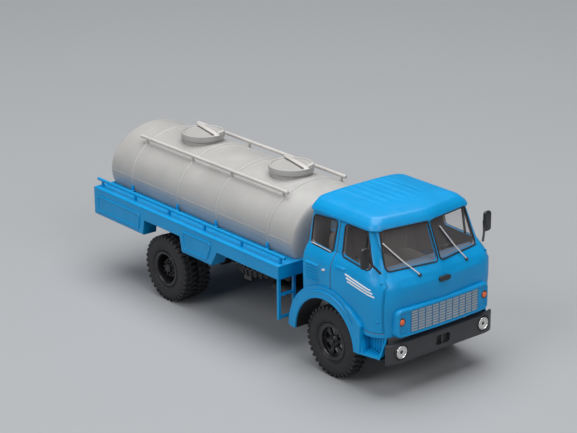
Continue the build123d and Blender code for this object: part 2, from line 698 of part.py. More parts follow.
# Low rails along the platform's sides
side_rail = box(
    SIDE_RAIL_REAR_X,
    SIDE_RAIL_FRONT_X,
    SIDE_RAIL_Y - 0.4,
    SIDE_RAIL_Y + 0.4,
    SIDE_RAIL_Z - 0.3,
    SIDE_RAIL_Z + 0.3,
)
for i in range(6):
    x = SIDE_RAIL_REAR_X + 3.1 + i * RAIL_POST_PITCH
    side_rail += box(x - 0.6, x + 0.6, SIDE_RAIL_Y - 0.3, SIDE_RAIL_Y + 0.3, PLAT_TOP_Z, SIDE_RAIL_Z)
parts["platform_rails"] = both_sides(side_rail)

# Ladder at the platform's front right corner
ladder_x = (LADDER_X - 0.5, LADDER_X + 0.5)
ladder_bars = []
for y in LADDER_POSTS_Y:
    ladder_bars.append(box(*ladder_x, y - 0.5, y + 0.5, LADDER_BOTTOM_Z, PLAT_TOP_Z - DECK_T))
for z in RUNGS_Z:
    ladder_bars.append(box(*ladder_x, LADDER_POSTS_Y[1], LADDER_POSTS_Y[0], z - 0.4, z + 0.4))
parts["ladder"] = combined(ladder_bars) - plat


# Elliptical tank with quarter-round dished ends, cut off level with the deck
def tank_section(x, scale, grow):
    plane = Plane((x, 0, TANK_Z), x_dir=(0, 1, 0), z_dir=(1, 0, 0))
    points = ring_of_points((TANK_A + grow) * scale, (TANK_B + grow) * scale, TANK_SIDES)
    return plane * make_face(Polyline(*points, close=True))


dome = []
for step_angle in (0, 25, 50, 72, 90):
    angle = math.radians(step_angle)
    dome.append((DOME * (1 - math.cos(angle)), DOME_FACE + (1 - DOME_FACE) * math.sin(angle)))
tank_stations = [(TANK_REAR_X + depth, scale) for depth, scale in dome]
tank_stations += [(TANK_FRONT_X - depth, scale) for depth, scale in reversed(dome)]
tank = loft([tank_section(x, scale, 0) for x, scale in tank_stations], ruled=True)
below_deck = box(TANK_REAR_X - 5, PLAT_FRONT_X + 5, -40, 40, 10, PLAT_TOP_Z)
tank -= below_deck
SEAM_W = 0.6
SEAM_PROUD = 0.3
seam = box(
    TANK_REAR_X + DOME,
    TANK_FRONT_X - DOME,
    TANK_A - 1,
    TANK_A + SEAM_PROUD,
    TANK_Z - SEAM_W / 2,
    TANK_Z + SEAM_W / 2,
)
bands = []
for x in BANDS_X:
    outer = extrude(tank_section(x - BAND_W / 2, 1.0, BAND_T), BAND_W, dir=(1, 0, 0))
    bands.append(outer - extrude(tank_section(x - BAND_W / 2, 1.0, 0), BAND_W, dir=(1, 0, 0)))
band_solid = combined(bands) - below_deck
parts["tank_bands"] = band_solid
tank = tank + both_sides(seam) - band_solid
parts["tank_shell"] = tank

# Manholes with domed lids, and a strap and latch over each
hatch_necks = []
hatch_lids = []
hatch_clamps = []
lid_bottom_z = HATCH_TOP_Z - HATCH_LID_T
for x in HATCHES_X:
    hatch_necks.append(rod_z(x, 0, TANK_Z + 8, lid_bottom_z, HATCH_NECK_R) - tank)
    lid = rod_z(x, 0, lid_bottom_z, HATCH_TOP_Z, HATCH_R)
    lid = chamfer(lid.edges().filter_by(GeomType.CIRCLE).sort_by(Axis.Z)[-1], 0.4)
    hatch_lids.append(lid - rod_z(x, 0, HATCH_TOP_Z - LID_RECESS, HATCH_TOP_Z + 1, HATCH_R - 1.2))
    strap_bottom_z = HATCH_TOP_Z - LID_RECESS
    strap = Pos(x, 2.1, strap_bottom_z + 0.5) * Rot(0, 0, STRAP_ANGLE) * Box(2 * HATCH_R + 1.4, 1.8, 1.0)
    latch = box(x + 5.4, x + 7.6, 2.7, 4.6, strap_bottom_z, HATCH_TOP_Z + 1.0)
    hatch_clamps.append(strap + latch - lid)
parts["hatch_necks"] = combined(hatch_necks)
parts["hatch_lids"] = combined(hatch_lids) - combined(hatch_clamps)
parts["hatch_clamps"] = combined(hatch_clamps)

# Rails along the tank's shoulders, on a post at each band
tank_rail = rod_x(TANK_RAIL_REAR_X, TANK_RAIL_FRONT_X, TANK_RAIL_Y, TANK_RAIL_Z, TANK_RAIL_R)
for x in BANDS_X:
    tank_rail += box(
        x - 0.4, x + 0.4, TANK_RAIL_Y - 0.4, TANK_RAIL_Y + 0.4, TANK_Z + 9, TANK_RAIL_Z
    )
tank_rail = tank_rail - tank - band_solid
parts["tank_rails"] = both_sides(tank_rail)
tie_downs = []
for x in BANDS_X:
    tie_downs.append(box(x - 0.8, x + 0.8, 19.4, 21.6, PLAT_TOP_Z, PLAT_TOP_Z + 2.2) - tank - band_solid)
parts["tie_down_lugs"] = both_sides(combined(tie_downs))

# Cab interior: floor, engine cover, dashboard and steering column foot
tub = box(CAB_REAR_X + CAB_WALL, 23.0, -16.9, 16.9, 22.4, 23.6)
tub += box(-13.0, 16.0, -6.6, 6.6, 23.6, 34.0)
tub -= box(-11.2, 14.2, -5.6, 5.6, 20.0, 33.2)
tub += box(18.2, 22.6, -18.6, 18.6, 36.0, 41.4)
tub += box(15.6, 22.6, -2.0, 2.0, 23.6, 37.0)
tub -= cab
parts["cab_interior"] = tub
seat_parts = []
for y in (-12.0, 12.0):
    seat_parts.append(box(-9.0, 3.0, y - 5.0, y + 5.0, 30.5, 34.5))
    seat_parts.append(box(-11.5, -8.5, y - 5.0, y + 5.0, 30.5, 47.0))
    seat_parts.append(box(-7.0, 1.0, y - 3.5, y + 3.5, 23.6, 30.5))
parts["seats"] = combined(seat_parts)
WHEEL_RING_R = 4.4
wheel_plane = Plane((14.0, 12.0, 41.5), z_dir=(-0.5, 0, 0.86))
ring_face = make_face(Polyline(*ring_of_points(WHEEL_RING_R + 0.4, WHEEL_RING_R + 0.4, 16), close=True))
ring_hole = make_face(Polyline(*ring_of_points(WHEEL_RING_R - 0.4, WHEEL_RING_R - 0.4, 16), close=True))
steering = extrude(wheel_plane * (ring_face - ring_hole), 0.7)
steering += wheel_plane * Pos(0, 0, 0.35) * Box(2 * WHEEL_RING_R, 0.8, 0.5)
steering += wheel_plane * Pos(0, 0, -4) * Box(1.0, 1.0, 8.4)
parts["steering_wheel"] = steering - tub - cab

# Mirrors, wipers and handles
MIRROR_X = 19.2
mirror_head = box(MIRROR_X - 0.5, MIRROR_X + 0.5, 26.2, 29.4, 45.2, 52.4)
mirror_head = chamfer(mirror_head.edges().filter_by(Axis.X), 0.8)
arm_low = (MIRROR_X + 2.0, 23.6, 43.6)
arm_bend = (MIRROR_X + 0.5, 26.6, 44.4)
arm_top = (MIRROR_X, 27.4, 46.4)
arm = None
for start, end in ((arm_low, arm_bend), (arm_bend, arm_top)):
    direction = Vector(*end) - Vector(*start)
    bar = Plane(start, z_dir=direction) * Pos(0, 0, direction.length / 2) * Box(0.7, 0.7, direction.length + 0.5)
    arm = bar if arm is None else arm + bar
parts["mirrors"] = both_sides(mirror_head + arm - cab_outer)

WIPERS = (
    # base, tip
    ((25.75, -9.3, 40.5), (18.6, -18.7, 51.5)),
    ((25.35, 12.3, 40.6), (20.4, 4.8, 52.5)),
)
wiper_arms = []
for base, tip in WIPERS:
    direction = Vector(*tip) - Vector(*base)
    line = Plane(base, z_dir=direction) * Pos(0, 0, direction.length / 2) * Box(0.5, 0.5, direction.length)
    wiper_arms.append(line)
parts["wipers"] = combined(wiper_arms) - cab_outer
handle = box(3.3, 7.4, 25.0, 26.4, 40.9, 41.6)
handle += box(-2.6, -1.2, 26.0, 27.0, 37.7, 38.9)
parts["door_handles"] = both_sides(handle - cab_outer)

# Pieces hung on the frame
fuel_outline = [(12.0, 13.6), (23.0, 13.6), (23.0, 23.2), (12.0, 23.2)]
fuel = front_prism(rounded(fuel_outline, [1.6] * 4, 3), -58.0, -34.0)
for x in (-55.2, -37.2):
    fuel += box(x - 0.8, x + 0.8, FRAME_HALF_W, 12.4, rail_bottom_z, RAIL_TOP_Z)
parts["fuel_tank"] = fuel
receiver = rod_x(-42.0, -28.5, -14.5, 18.0, 2.5)
receiver += box(-37.0, -35.0, -13.0, -FRAME_HALF_W, rail_bottom_z, RAIL_TOP_Z)
parts["air_receiver"] = receiver
battery = box(-31.5, -22.0, 11.0, 19.0, 14.6, 22.4)
battery += box(-28.0, -26.0, FRAME_HALF_W, 11.2, rail_bottom_z, RAIL_TOP_Z)
parts["battery_box"] = battery

# Spare wheel lying flat below the deck, on a carrier across the frame rail
lay_flat = Pos(SPARE_X, SPARE_Y, SPARE_Z) * Rot(-90, 0, 0)
spare_tyre = lay_flat * tyre_solid
spare_rim = lay_flat * front_rim()
carrier = box(SPARE_X - 2.0, SPARE_X + 2.0, -26.0, -6.0, RAIL_TOP_Z, SPARE_Z + 0.1)
carrier += rod_z(SPARE_X, SPARE_Y, RAIL_TOP_Z, PLAT_TOP_Z - DECK_T, 0.8)
parts["spare_tyre"] = spare_tyre
parts["spare_rim"] = spare_rim - rod_z(SPARE_X, SPARE_Y, SPARE_Z - 1, SPARE_Z + TYRE_W, 0.8)
parts["spare_carrier"] = carrier - parts["spare_rim"] - spare_tyre

# Rear end
rear_lamps = []
for y in (-20.0, 20.0):
    rear_lamps.append(box(PLAT_REAR_X - 0.8, PLAT_REAR_X, y - 2.6, y + 2.6, 25.6, 27.6))
parts["rear_lamps"] = combined(rear_lamps)
parts["tow_hook"] = box(FRAME_REAR_X - 2.8, FRAME_REAR_X, -1.6, 1.6, 18.4, 20.4)

# Every piece moves so that the origin is below the middle of the outline box
shift = -(GRILLE_FACE_X + SIDE_RAIL_REAR_X) / 2
for name, solid in parts.items():
    export_step(Pos(shift, 0, 0) * solid, f"parts/{name}.step")
print(len(parts), "parts moved by", round(shift, 4))
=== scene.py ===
import json
import math

import bmesh
import bpy
from mathutils import Matrix, Vector
from mathutils.bvhtree import BVHTree


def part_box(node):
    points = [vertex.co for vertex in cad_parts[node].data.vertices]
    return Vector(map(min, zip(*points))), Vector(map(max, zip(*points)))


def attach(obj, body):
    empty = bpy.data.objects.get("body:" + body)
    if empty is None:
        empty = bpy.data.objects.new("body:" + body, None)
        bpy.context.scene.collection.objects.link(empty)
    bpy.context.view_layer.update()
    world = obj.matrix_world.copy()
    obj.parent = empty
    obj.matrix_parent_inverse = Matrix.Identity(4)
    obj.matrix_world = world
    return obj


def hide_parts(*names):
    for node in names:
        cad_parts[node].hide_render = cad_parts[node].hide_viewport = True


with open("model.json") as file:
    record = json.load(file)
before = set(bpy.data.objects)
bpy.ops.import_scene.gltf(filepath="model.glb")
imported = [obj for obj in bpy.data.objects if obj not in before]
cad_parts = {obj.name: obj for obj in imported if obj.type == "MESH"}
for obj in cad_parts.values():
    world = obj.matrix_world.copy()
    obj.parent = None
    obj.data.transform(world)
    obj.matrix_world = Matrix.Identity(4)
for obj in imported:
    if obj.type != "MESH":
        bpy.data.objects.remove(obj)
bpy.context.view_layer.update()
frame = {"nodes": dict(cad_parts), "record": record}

MM = 0.001
TRUCK = "truck"
FRONT = "front_wheelset"
REAR = "rear_wheelset"
SIDES = ((1, "left"), (-1, "right"))

# Places in the frame: x and z from below the front axle, in millimetres
front_tyre_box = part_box("front_tyres")
rear_tyre_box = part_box("rear_tyres")
FRONT_AXLE_X = (front_tyre_box[0][0] + front_tyre_box[1][0]) / 2
REAR_AXLE_X = (rear_tyre_box[0][0] + rear_tyre_box[1][0]) / 2
TYRE_R = (front_tyre_box[1][2] + front_tyre_box[0][2]) / 2 / MM
FRONT_FACE_Y = front_tyre_box[1][1] / MM
REAR_FACE_Y = rear_tyre_box[1][1] / MM
TYRE_W = 5.9
DUAL_GAP = 0.3
RIM_R = 6.9


def at(x, y, z):
    return Vector((FRONT_AXLE_X + x * MM, y * MM, z * MM))


# Materials; a noise is used over the middle of its range
NOISE_RANGE = (0.3, 0.7)
COAT_ROUGHNESS = 0.12


def set_inputs(node, values):
    for socket, value in values.items():
        node.inputs[socket].default_value = value


def add_node(material, kind, values=None):
    node = material.node_tree.nodes.new(kind)
    set_inputs(node, values or {})
    return node


def feed(material, output, socket):
    # Leads a node's output into the surface
    shader = material.node_tree.nodes["Principled BSDF"]
    material.node_tree.links.new(output, shader.inputs[socket])


def new_material(name, colour, roughness, metallic=0.0, coat=0.0, specular=0.5, alpha=1.0):
    material = bpy.data.materials.new(name)
    material.use_nodes = True
    set_inputs(material.node_tree.nodes["Principled BSDF"], {
        "Base Color": (*colour, 1.0),
        "Roughness": roughness,
        "Metallic": metallic,
        "Coat Weight": coat,
        "Coat Roughness": COAT_ROUGHNESS,
        "Specular IOR Level": specular,
        "Alpha": alpha,
    })
    return material


def noise(material, scale, detail=3.0, stretch=(1.0, 1.0, 1.0)):
    # A noise in object space, its scale in waves per metre
    links = material.node_tree.links
    place = add_node(material, "ShaderNodeTexCoord")
    mapping = add_node(material, "ShaderNodeMapping", {"Scale": stretch})
    texture = add_node(material, "ShaderNodeTexNoise", {"Scale": scale, "Detail": detail})
    links.new(place.outputs["Object"], mapping.inputs["Vector"])
    links.new(mapping.outputs["Vector"], texture.inputs["Vector"])
    return texture.outputs["Fac"]


def shade(material, factor, dark, light):
    # The base colour runs from dark to light with the factor
    ramp = add_node(material, "ShaderNodeValToRGB")
    for element, position, colour in zip(ramp.color_ramp.elements, NOISE_RANGE, (dark, light)):
        element.position = position
        element.color = (*colour, 1.0)
    material.node_tree.links.new(factor, ramp.inputs["Fac"])
    feed(material, ramp.outputs["Color"], "Base Color")


def spread(material, factor, low, high):
    # The roughness runs from low to high with the factor
    start, end = NOISE_RANGE
    limits = {"From Min": start, "From Max": end, "To Min": low, "To Max": high}
    span = add_node(material, "ShaderNodeMapRange", limits)
    material.node_tree.links.new(factor, span.inputs["Value"])
    feed(material, span.outputs["Result"], "Roughness")


def relief(material, factor, height, edge=0.0):
    # Bump in metres, over edges rounded by the given radius
    bump = add_node(material, "ShaderNodeBump", {"Strength": 1.0, "Distance": height})
    material.node_tree.links.new(factor, bump.inputs["Height"])
    if edge:
        bevel = add_node(material, "ShaderNodeBevel", {"Radius": edge})
        bevel.samples = 6
        material.node_tree.links.new(bevel.outputs["Normal"], bump.inputs["Normal"])
    feed(material, bump.outputs["Normal"], "Normal")


def tinted(colour, factor):
    return tuple(min(1.0, part * factor) for part in colour)


def moulded(name, colour, roughness, edge=0.00015, grain=0.000012, coat=0.0, specular=0.5):
    # Painted or moulded plastic: faint mottling, uneven gloss, fine grain and softened edges
    material = new_material(name, colour, roughness, coat=coat, specular=specular)
    broad = noise(material, 90.0)
    shade(material, broad, tinted(colour, 0.94), tinted(colour, 1.06))
    spread(material, noise(material, 260.0), roughness - 0.05, roughness + 0.07)
    relief(material, noise(material, 2600.0, 2.0), grain, edge)
    return material


def metal(name, colour, roughness):
    # Bright metal with fine drawn streaks along X
    material = new_material(name, colour, roughness, metallic=1.0)
    streaks = noise(material, 900.0, 2.0, (0.1, 1.0, 1.0))
    spread(material, streaks, roughness - 0.06, roughness + 0.08)
    relief(material, streaks, 0.000004, 0.0001)
    return material


def rubber(name, colour):
    # Tyre rubber, matt, with dust held in the grain
    material = new_material(name, colour, 0.7)
    dust = noise(material, 420.0, 4.0)
    shade(material, dust, tinted(colour, 0.85), tinted(colour, 1.35))
    spread(material, dust, 0.58, 0.8)
    relief(material, noise(material, 3000.0), 0.00002, 0.0001)
    return material


def pane(name, colour, alpha):
    # Thin window plastic, seen through and faintly tinted
    material = new_material(name, colour, 0.04, alpha=alpha)
    spread(material, noise(material, 60.0), 0.03, 0.07)
    return material


BLUE = (0.0, 0.266, 0.585)
TANK_GREY = (0.385, 0.38, 0.368)
MATERIALS = {
    "body_blue": moulded("blue paint", BLUE, 0.36, coat=0.06, specular=0.32),
    "tank_grey": moulded("grey tank plastic", TANK_GREY, 0.42, edge=0.00006),
    "chassis_black": moulded("black chassis plastic", (0.018, 0.018, 0.019), 0.45),
    "bumper_grey": moulded("dark grey bumper plastic", (0.035, 0.036, 0.04), 0.4),
    "rim_black": moulded("black wheel plastic", (0.013, 0.013, 0.015), 0.27),
    "tyre_rubber": rubber("tyre rubber", (0.0145, 0.0145, 0.0165)),
    "steel": metal("steel pin", (0.5, 0.5, 0.52), 0.3),
    "chrome": metal("chrome ring", (0.8, 0.8, 0.82), 0.12),
    "lens_clear": moulded("pale lamp glass", (0.62, 0.63, 0.64), 0.12, coat=0.6),
    "glass": pane("tinted window", (0.3, 0.285, 0.28), 0.13),
    "orange_lens": moulded("orange lamp glass", (0.78, 0.13, 0.03), 0.2, coat=0.5),
    "red_lens": moulded("red lamp glass", (0.45, 0.01, 0.01), 0.2, coat=0.5),
    "silver": moulded("silver paint", (0.58, 0.58, 0.59), 0.3, edge=0.00004, specular=0.9),
    "interior": moulded("grey cab lining", (0.27, 0.235, 0.235), 0.6),
    "seat": moulded("seat leatherette", (0.2, 0.175, 0.17), 0.6, grain=0.00003),
    "trim_black": moulded("black trim", (0.02, 0.02, 0.022), 0.35),
}
SIDE_PANE = pane("clear side window", (0.4, 0.4, 0.4), 0.04)
SEAL = moulded("window rubber", (0.015, 0.016, 0.02), 0.5)
PLATFORM_BLUE = moulded("blue platform paint", BLUE, 0.36, edge=0.0004, coat=0.06, specular=0.32)
# The tank's grey plastic painted lighter for the rails, posts, straps and latches: painted light for the
# light their thin edges catch
PAINTED_LIGHT_GREY = moulded("tank grey with painted light", (0.52, 0.5, 0.48), 0.5, edge=0.00006)
LEDGE = moulded("pale dash ledge", (0.16, 0.27, 0.42), 0.4)
SLAT = moulded("silver grille slats", (0.33, 0.36, 0.38), 0.34, edge=0.00005)
DARK_BLUE = moulded("blue paint in shadow", (0.0, 0.09, 0.25), 0.5)
LAMP_WHITE = moulded("pale lamp disc", (0.6, 0.6, 0.58), 0.18, edge=0.00005, coat=0.4)
# The groove round each headlamp is painted near-black: painted shade in the gap
PAINTED_SHADE_GAP = moulded("painted shade in lamp groove", (0.008, 0.008, 0.009), 0.5, edge=0.0)
DECAL_WHITE = moulded("white door bars", (0.8, 0.82, 0.84), 0.4, edge=0.00003)


WELD_DISTANCE = 0.000002
REAL_EDGE_DEGREES = 28


def smooth_by_angle():
    # Welds a mesh for shading and smooths it up to the angle of a real edge
    group = bpy.data.node_groups.new("smooth by angle", "GeometryNodeTree")
    for direction in ("INPUT", "OUTPUT"):
        group.interface.new_socket("Geometry", in_out=direction, socket_type="NodeSocketGeometry")
    chain = [group.nodes.new(kind) for kind in (
        "NodeGroupInput",
        "GeometryNodeRemoveAttribute",
        "GeometryNodeMergeByDistance",
        "GeometryNodeSetShadeSmooth",
        "GeometryNodeSetShadeSmooth",
        "NodeGroupOutput",
    )]
    for node, following in zip(chain, chain[1:]):
        group.links.new(node.outputs[0], following.inputs[0])
    plain, weld, faces, edges = chain[1:-1]
    set_inputs(plain, {"Name": "custom_normal"})
    set_inputs(weld, {"Distance": WELD_DISTANCE})
    faces.domain = "FACE"
    edges.domain = "EDGE"
    set_inputs(edges, {"Shade Smooth": False})
    angle = group.nodes.new("GeometryNodeInputMeshEdgeAngle")
    sharp = group.nodes.new("FunctionNodeCompare")
    sharp.data_type = "FLOAT"
    sharp.operation = "GREATER_THAN"
    set_inputs(sharp, {"B": math.radians(REAL_EDGE_DEGREES)})
    group.links.new(angle.outputs["Unsigned Angle"], sharp.inputs["A"])
    group.links.new(sharp.outputs["Result"], edges.inputs["Selection"])
    return group


smoothing = smooth_by_angle()
for subpart in frame["record"]["subparts"]:
    node = frame["nodes"][subpart["node"]]
    node.data.materials.clear()
    node.data.materials.append(MATERIALS[subpart["material_slot"]])
    node.modifiers.new("smooth by angle", "NODES").node_group = smoothing

# The side windows are clearer than the windscreen
for node_name in ("side_glass", "rear_glass"):
    frame["nodes"][node_name].data.materials[0] = SIDE_PANE

# The platform has softer edges
frame["nodes"]["platform"].data.materials[0] = PLATFORM_BLUE

# The faces of the wheel arches that look at the axle are painted black: painted shade for the shadow over the
# tyres
FACES_AXLE = -0.5
arch_data = frame["nodes"]["wheel_arches"].data
arch_data.materials.append(MATERIALS["chassis_black"])
for face in arch_data.polygons:
    from_axle = Vector((face.center.x - FRONT_AXLE_X, 0.0, face.center.z - TYRE_R * MM))
    if from_axle.normalized().dot(face.normal) < FACES_AXLE:
        face.material_index = 1

# The cab's inner faces take the colour of its lining
LINING_LOW_Z = 21.5
cab_low, cab_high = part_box("cab_shell")
cab_middle = (Vector(cab_low) + Vector(cab_high)) / 2
cab_data = frame["nodes"]["cab_shell"].data
cab_data.materials.append(MATERIALS["interior"])
for face in cab_data.polygons:
    if (face.center - cab_middle).dot(face.normal) < 0 and face.center.z > LINING_LOW_Z * MM:
        face.material_index = 1


# Building blocks for the added pieces
def piece(name, mesh, slot_name, body=TRUCK, material=None, replaced=()):
    mesh.materials.clear()
    mesh.materials.append(material or MATERIALS[slot_name])
    obj = bpy.data.objects.new(name, mesh)
    bpy.context.scene.collection.objects.link(obj)
    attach(obj, body)
    for node_name in replaced:
        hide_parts(node_name)
    return obj


def finished_mesh(name, bm, sharp_degrees=32):
    bmesh.ops.recalc_face_normals(bm, faces=bm.faces)
    mesh = bpy.data.meshes.new(name)
    bm.to_mesh(mesh)
    bm.free()
    mesh.shade_smooth()
    mesh.set_sharp_from_angle(angle=math.radians(sharp_degrees))
    return mesh

def solid(name, bm, slot_name, sharp_degrees=32, **looks):
    return piece(name, finished_mesh(name, bm, sharp_degrees), slot_name, **looks)


def bridge(bm, rows, closed=True):
    # Faces from each row of points to the next, all round a closed row or along an open one
    for low, high in zip(rows, rows[1:]):
        count = len(low)
        for i in range(count if closed else count - 1):
            j = (i + 1) % count
            bm.faces.new((low[i], low[j], high[j], high[i]))


def loft(bm, rows):
    # A solid through closed rows of points, with a face at each end
    bridge(bm, rows)
    bm.faces.new(rows[0][::-1])
    bm.faces.new(rows[-1])


def block(bm, corners_low, corners_high):
    # A solid between two outlines
    loft(bm, [[bm.verts.new(point) for point in corners] for corners in (corners_low, corners_high)])


def around(radius, angle, depth=0.0):
    # A point about the local Y axis, at a depth below y = 0
    return Vector((radius * math.cos(angle), -depth, radius * math.sin(angle))) * MM


def circle(bm, matrix, depth, radius, segments):
    turns = [2 * math.pi * i / segments for i in range(segments)]
    return [bm.verts.new(matrix @ around(radius, turn, depth)) for turn in turns]


def lathe(bm, profile, segments, matrix, ends=(), closed=False):
    # (depth, radius) points turned about the local Y axis; ends are the rings filled by a face
    rings = [circle(bm, matrix, depth, radius, segments) for depth, radius in profile]
    bridge(bm, rings)
    for end in ends:
        bm.faces.new(rings[end])
    if closed:
        bridge(bm, [rings[-1], rings[0]])


def turned(name, profile, segments, matrix, slot_name, ends=(), sharp_degrees=32, **looks):
    # One piece turned from a profile
    bm = bmesh.new()
    lathe(bm, profile, segments, matrix, ends)
    solid(name, bm, slot_name, sharp_degrees, **looks)


def rectangle(u0, u1, v0, v1):
    return [(u0, v0), (u1, v0), (u1, v1), (u0, v1)]


def rounded_outline(points, radius, steps=5):
    # A closed 2D outline with each corner turned into an arc; radius is one number or one per corner
    outline = []
    count = len(points)
    radii = radius if isinstance(radius, tuple) else (radius,) * count
    for i, corner_r in enumerate(radii):
        corner = Vector(points[i])
        before = (Vector(points[i - 1]) - corner).normalized()
        after = (Vector(points[(i + 1) % count]) - corner).normalized()
        half = before.angle(after) / 2
        centre = corner + (before + after).normalized() * (corner_r / math.sin(half))
        start = corner + before * (corner_r / math.tan(half)) - centre
        end = corner + after * (corner_r / math.tan(half)) - centre
        for k in range(steps + 1):
            outline.append(centre + start.slerp(end, k / steps) * corner_r)
    return outline


def grown(outline, amount):
    # A 2D outline moved outward from its middle
    centre = sum(outline, Vector((0, 0))) / len(outline)
    return [point + (point - centre).normalized() * amount for point in outline]


def tube(name, points, radius, slot_name, closed=False, smooth=False, **looks):
    # A round bar through points in the frame, radius in millimetres
    curve = bpy.data.curves.new(name, "CURVE")
    curve.dimensions = "3D"
    curve.bevel_depth = radius * MM
    curve.bevel_resolution = 3
    curve.use_fill_caps = True
    spline = curve.splines.new("NURBS" if smooth else "POLY")
    spline.points.add(len(points) - 1)
    for target, point in zip(spline.points, points):
        target.co = (*point, 1.0)
    spline.use_cyclic_u = closed
    if smooth:
        spline.order_u = 3
        spline.use_endpoint_u = True
    source = bpy.data.objects.new(name, curve)
    mesh = bpy.data.meshes.new_from_object(source)
    bpy.data.objects.remove(source)
    mesh.shade_smooth()
    mesh.set_sharp_from_angle(angle=math.radians(50))
    piece(name, mesh, slot_name, **looks)


def flat_bar(name, points, width, height, slot_name, **looks):
    # A bar of rounded rectangular section along a path, its width level
    bevel = 0.3 * min(width, height)
    w, h = width / 2, height / 2
    section = [(w - bevel, -h), (w, -h + bevel), (w, h - bevel), (w - bevel, h),
               (-w + bevel, h), (-w, h - bevel), (-w, -h + bevel), (-w + bevel, -h)]
    bm = bmesh.new()
    rows = []
    for i, point in enumerate(points):
        before = points[max(i - 1, 0)]
        after = points[min(i + 1, len(points) - 1)]
        along_path = (after - before).normalized()
        across_path = along_path.cross(Vector((0, 0, 1))).normalized()
        upward = across_path.cross(along_path)
        rows.append([bm.verts.new(point + (across_path * u + upward * v) * MM) for u, v in section])
    loft(bm, rows)
    solid(name, bm, slot_name, 50, **looks)


def plate_mesh(name, outline, place, depth, bevel, sharp_degrees=32):
    # A flat plate from a 2D outline in millimetres; place maps (u, v, height) into the frame
    bm = bmesh.new()
    rings = []
    for height, inset in ((0.0, 0.0), (depth - bevel, 0.0), (depth, bevel)):
        rings.append([bm.verts.new(place(point.x, point.y, height)) for point in grown(outline, -inset)])
    loft(bm, rings)
    return finished_mesh(name, bm, sharp_degrees)


def plate(name, outline, place, depth, bevel, slot_name, sharp_degrees=32, **looks):
    piece(name, plate_mesh(name, outline, place, depth, bevel, sharp_degrees), slot_name, **looks)


# Places for turned pieces that face sideways, forward and up
def facing_side(point, side):
    return Matrix.Translation(point) @ Matrix.Rotation(0.0 if side > 0 else math.pi, 4, "Z")


def facing_front(point):
    return Matrix.Translation(point) @ Matrix.Rotation(-math.pi / 2, 4, "Z")


def facing_up(point):
    return Matrix.Translation(point) @ Matrix.Rotation(math.pi / 2, 4, "X")


# Tyres: a carcass with bead and shoulder lines, and two staggered rows of chunky lugs
WHEEL_SEGMENTS = 72
LUG_COUNT = 36
LUG_PITCH = 2 * math.pi / LUG_COUNT
LUG_INSET = 0.15
LUG_W = 3.1
TREAD_DEPTH = 0.6
GROOVE_R = TYRE_R - TREAD_DEPTH


def lug_quad(matrix, angle, half_width, near, far):
    # Four corners of a lug's floor or top; near and far are the (depth, radius) of its ends
    corners = ((-half_width, near), (half_width, near), (half_width, far), (-half_width, far))
    return [matrix @ around(radius, angle + turn, depth) for turn, (depth, radius) in corners]


def add_tyre(name, matrix, body, node_name):
    half_profile = [
        (0.9, RIM_R - 0.02), (0.42, RIM_R + 0.15), (0.3, RIM_R + 0.45), (0.42, RIM_R + 0.62),
        (0.16, RIM_R + 0.85), (0.03, RIM_R + 1.8), (0.0, RIM_R + 2.7), (0.08, RIM_R + 3.5),
        (0.3, RIM_R + 4.2), (0.7, GROOVE_R - 0.3), (1.3, GROOVE_R),
    ]
    profile = half_profile + [(TYRE_W - depth, radius) for depth, radius in reversed(half_profile)]
    bm = bmesh.new()
    lathe(bm, profile, WHEEL_SEGMENTS, matrix, closed=True)
    for i in range(LUG_COUNT):
        for shoulder, inward, stagger in ((LUG_INSET, 1, 0.0), (TYRE_W - LUG_INSET, -1, 0.5)):
            angle = (i + stagger) * LUG_PITCH
            end = shoulder + inward * LUG_W
            top_near = (shoulder + inward * 0.35, TYRE_R - 0.12)
            top_far = (end - inward * 0.15, TYRE_R)
            low = lug_quad(matrix, angle, 0.30 * LUG_PITCH, (shoulder, GROOVE_R - 0.9), (end, GROOVE_R - 0.1))
            block(bm, low, lug_quad(matrix, angle, 0.24 * LUG_PITCH, top_near, top_far))
    solid(name, bm, "tyre_rubber", 30, body=body, replaced=(node_name,))


# Rims: a turned barrel, a disc with windows, a hub and its nuts
WINDOW_EDGE = 0.35


def windowed_disc(bm, matrix, depth, thickness, inner, outer, count, open_share):
    # A disc between two radii with openings, thick enough to show their edges
    radii = (inner, inner + WINDOW_EDGE, outer - WINDOW_EDGE, outer)
    per_window = WHEEL_SEGMENTS // count
    open_steps = round(per_window * open_share)
    sheets = []
    for level in (depth, depth + thickness):
        sheets.append([circle(bm, matrix, level, radius, WHEEL_SEGMENTS) for radius in radii])
    near, far = sheets
    for i in range(WHEEL_SEGMENTS):
        j = (i + 1) % WHEEL_SEGMENTS
        step = i % per_window
        for band in range(3):
            if band == 1 and step < open_steps:
                for edge in (1, 2):
                    bm.faces.new((near[edge][i], near[edge][j], far[edge][j], far[edge][i]))
                continue
            for grid in sheets:
                bm.faces.new((grid[band][i], grid[band][j], grid[band + 1][j], grid[band + 1][i]))
        if step in (0, open_steps):
            bm.faces.new((near[1][i], near[2][i], far[2][i], far[1][i]))


def nuts(bm, matrix, count, first_angle, radius, depth, size, height):
    # A circle of hexagonal nuts that stand out from the given depth
    profile = [(depth, size), (depth - height * 0.8, size), (depth - height, size * 0.75)]
    for i in range(count):
        centre = around(radius, first_angle + 2 * math.pi * i / count)
        lathe(bm, profile, 6, matrix @ Matrix.Translation(centre), ends=(-1,))


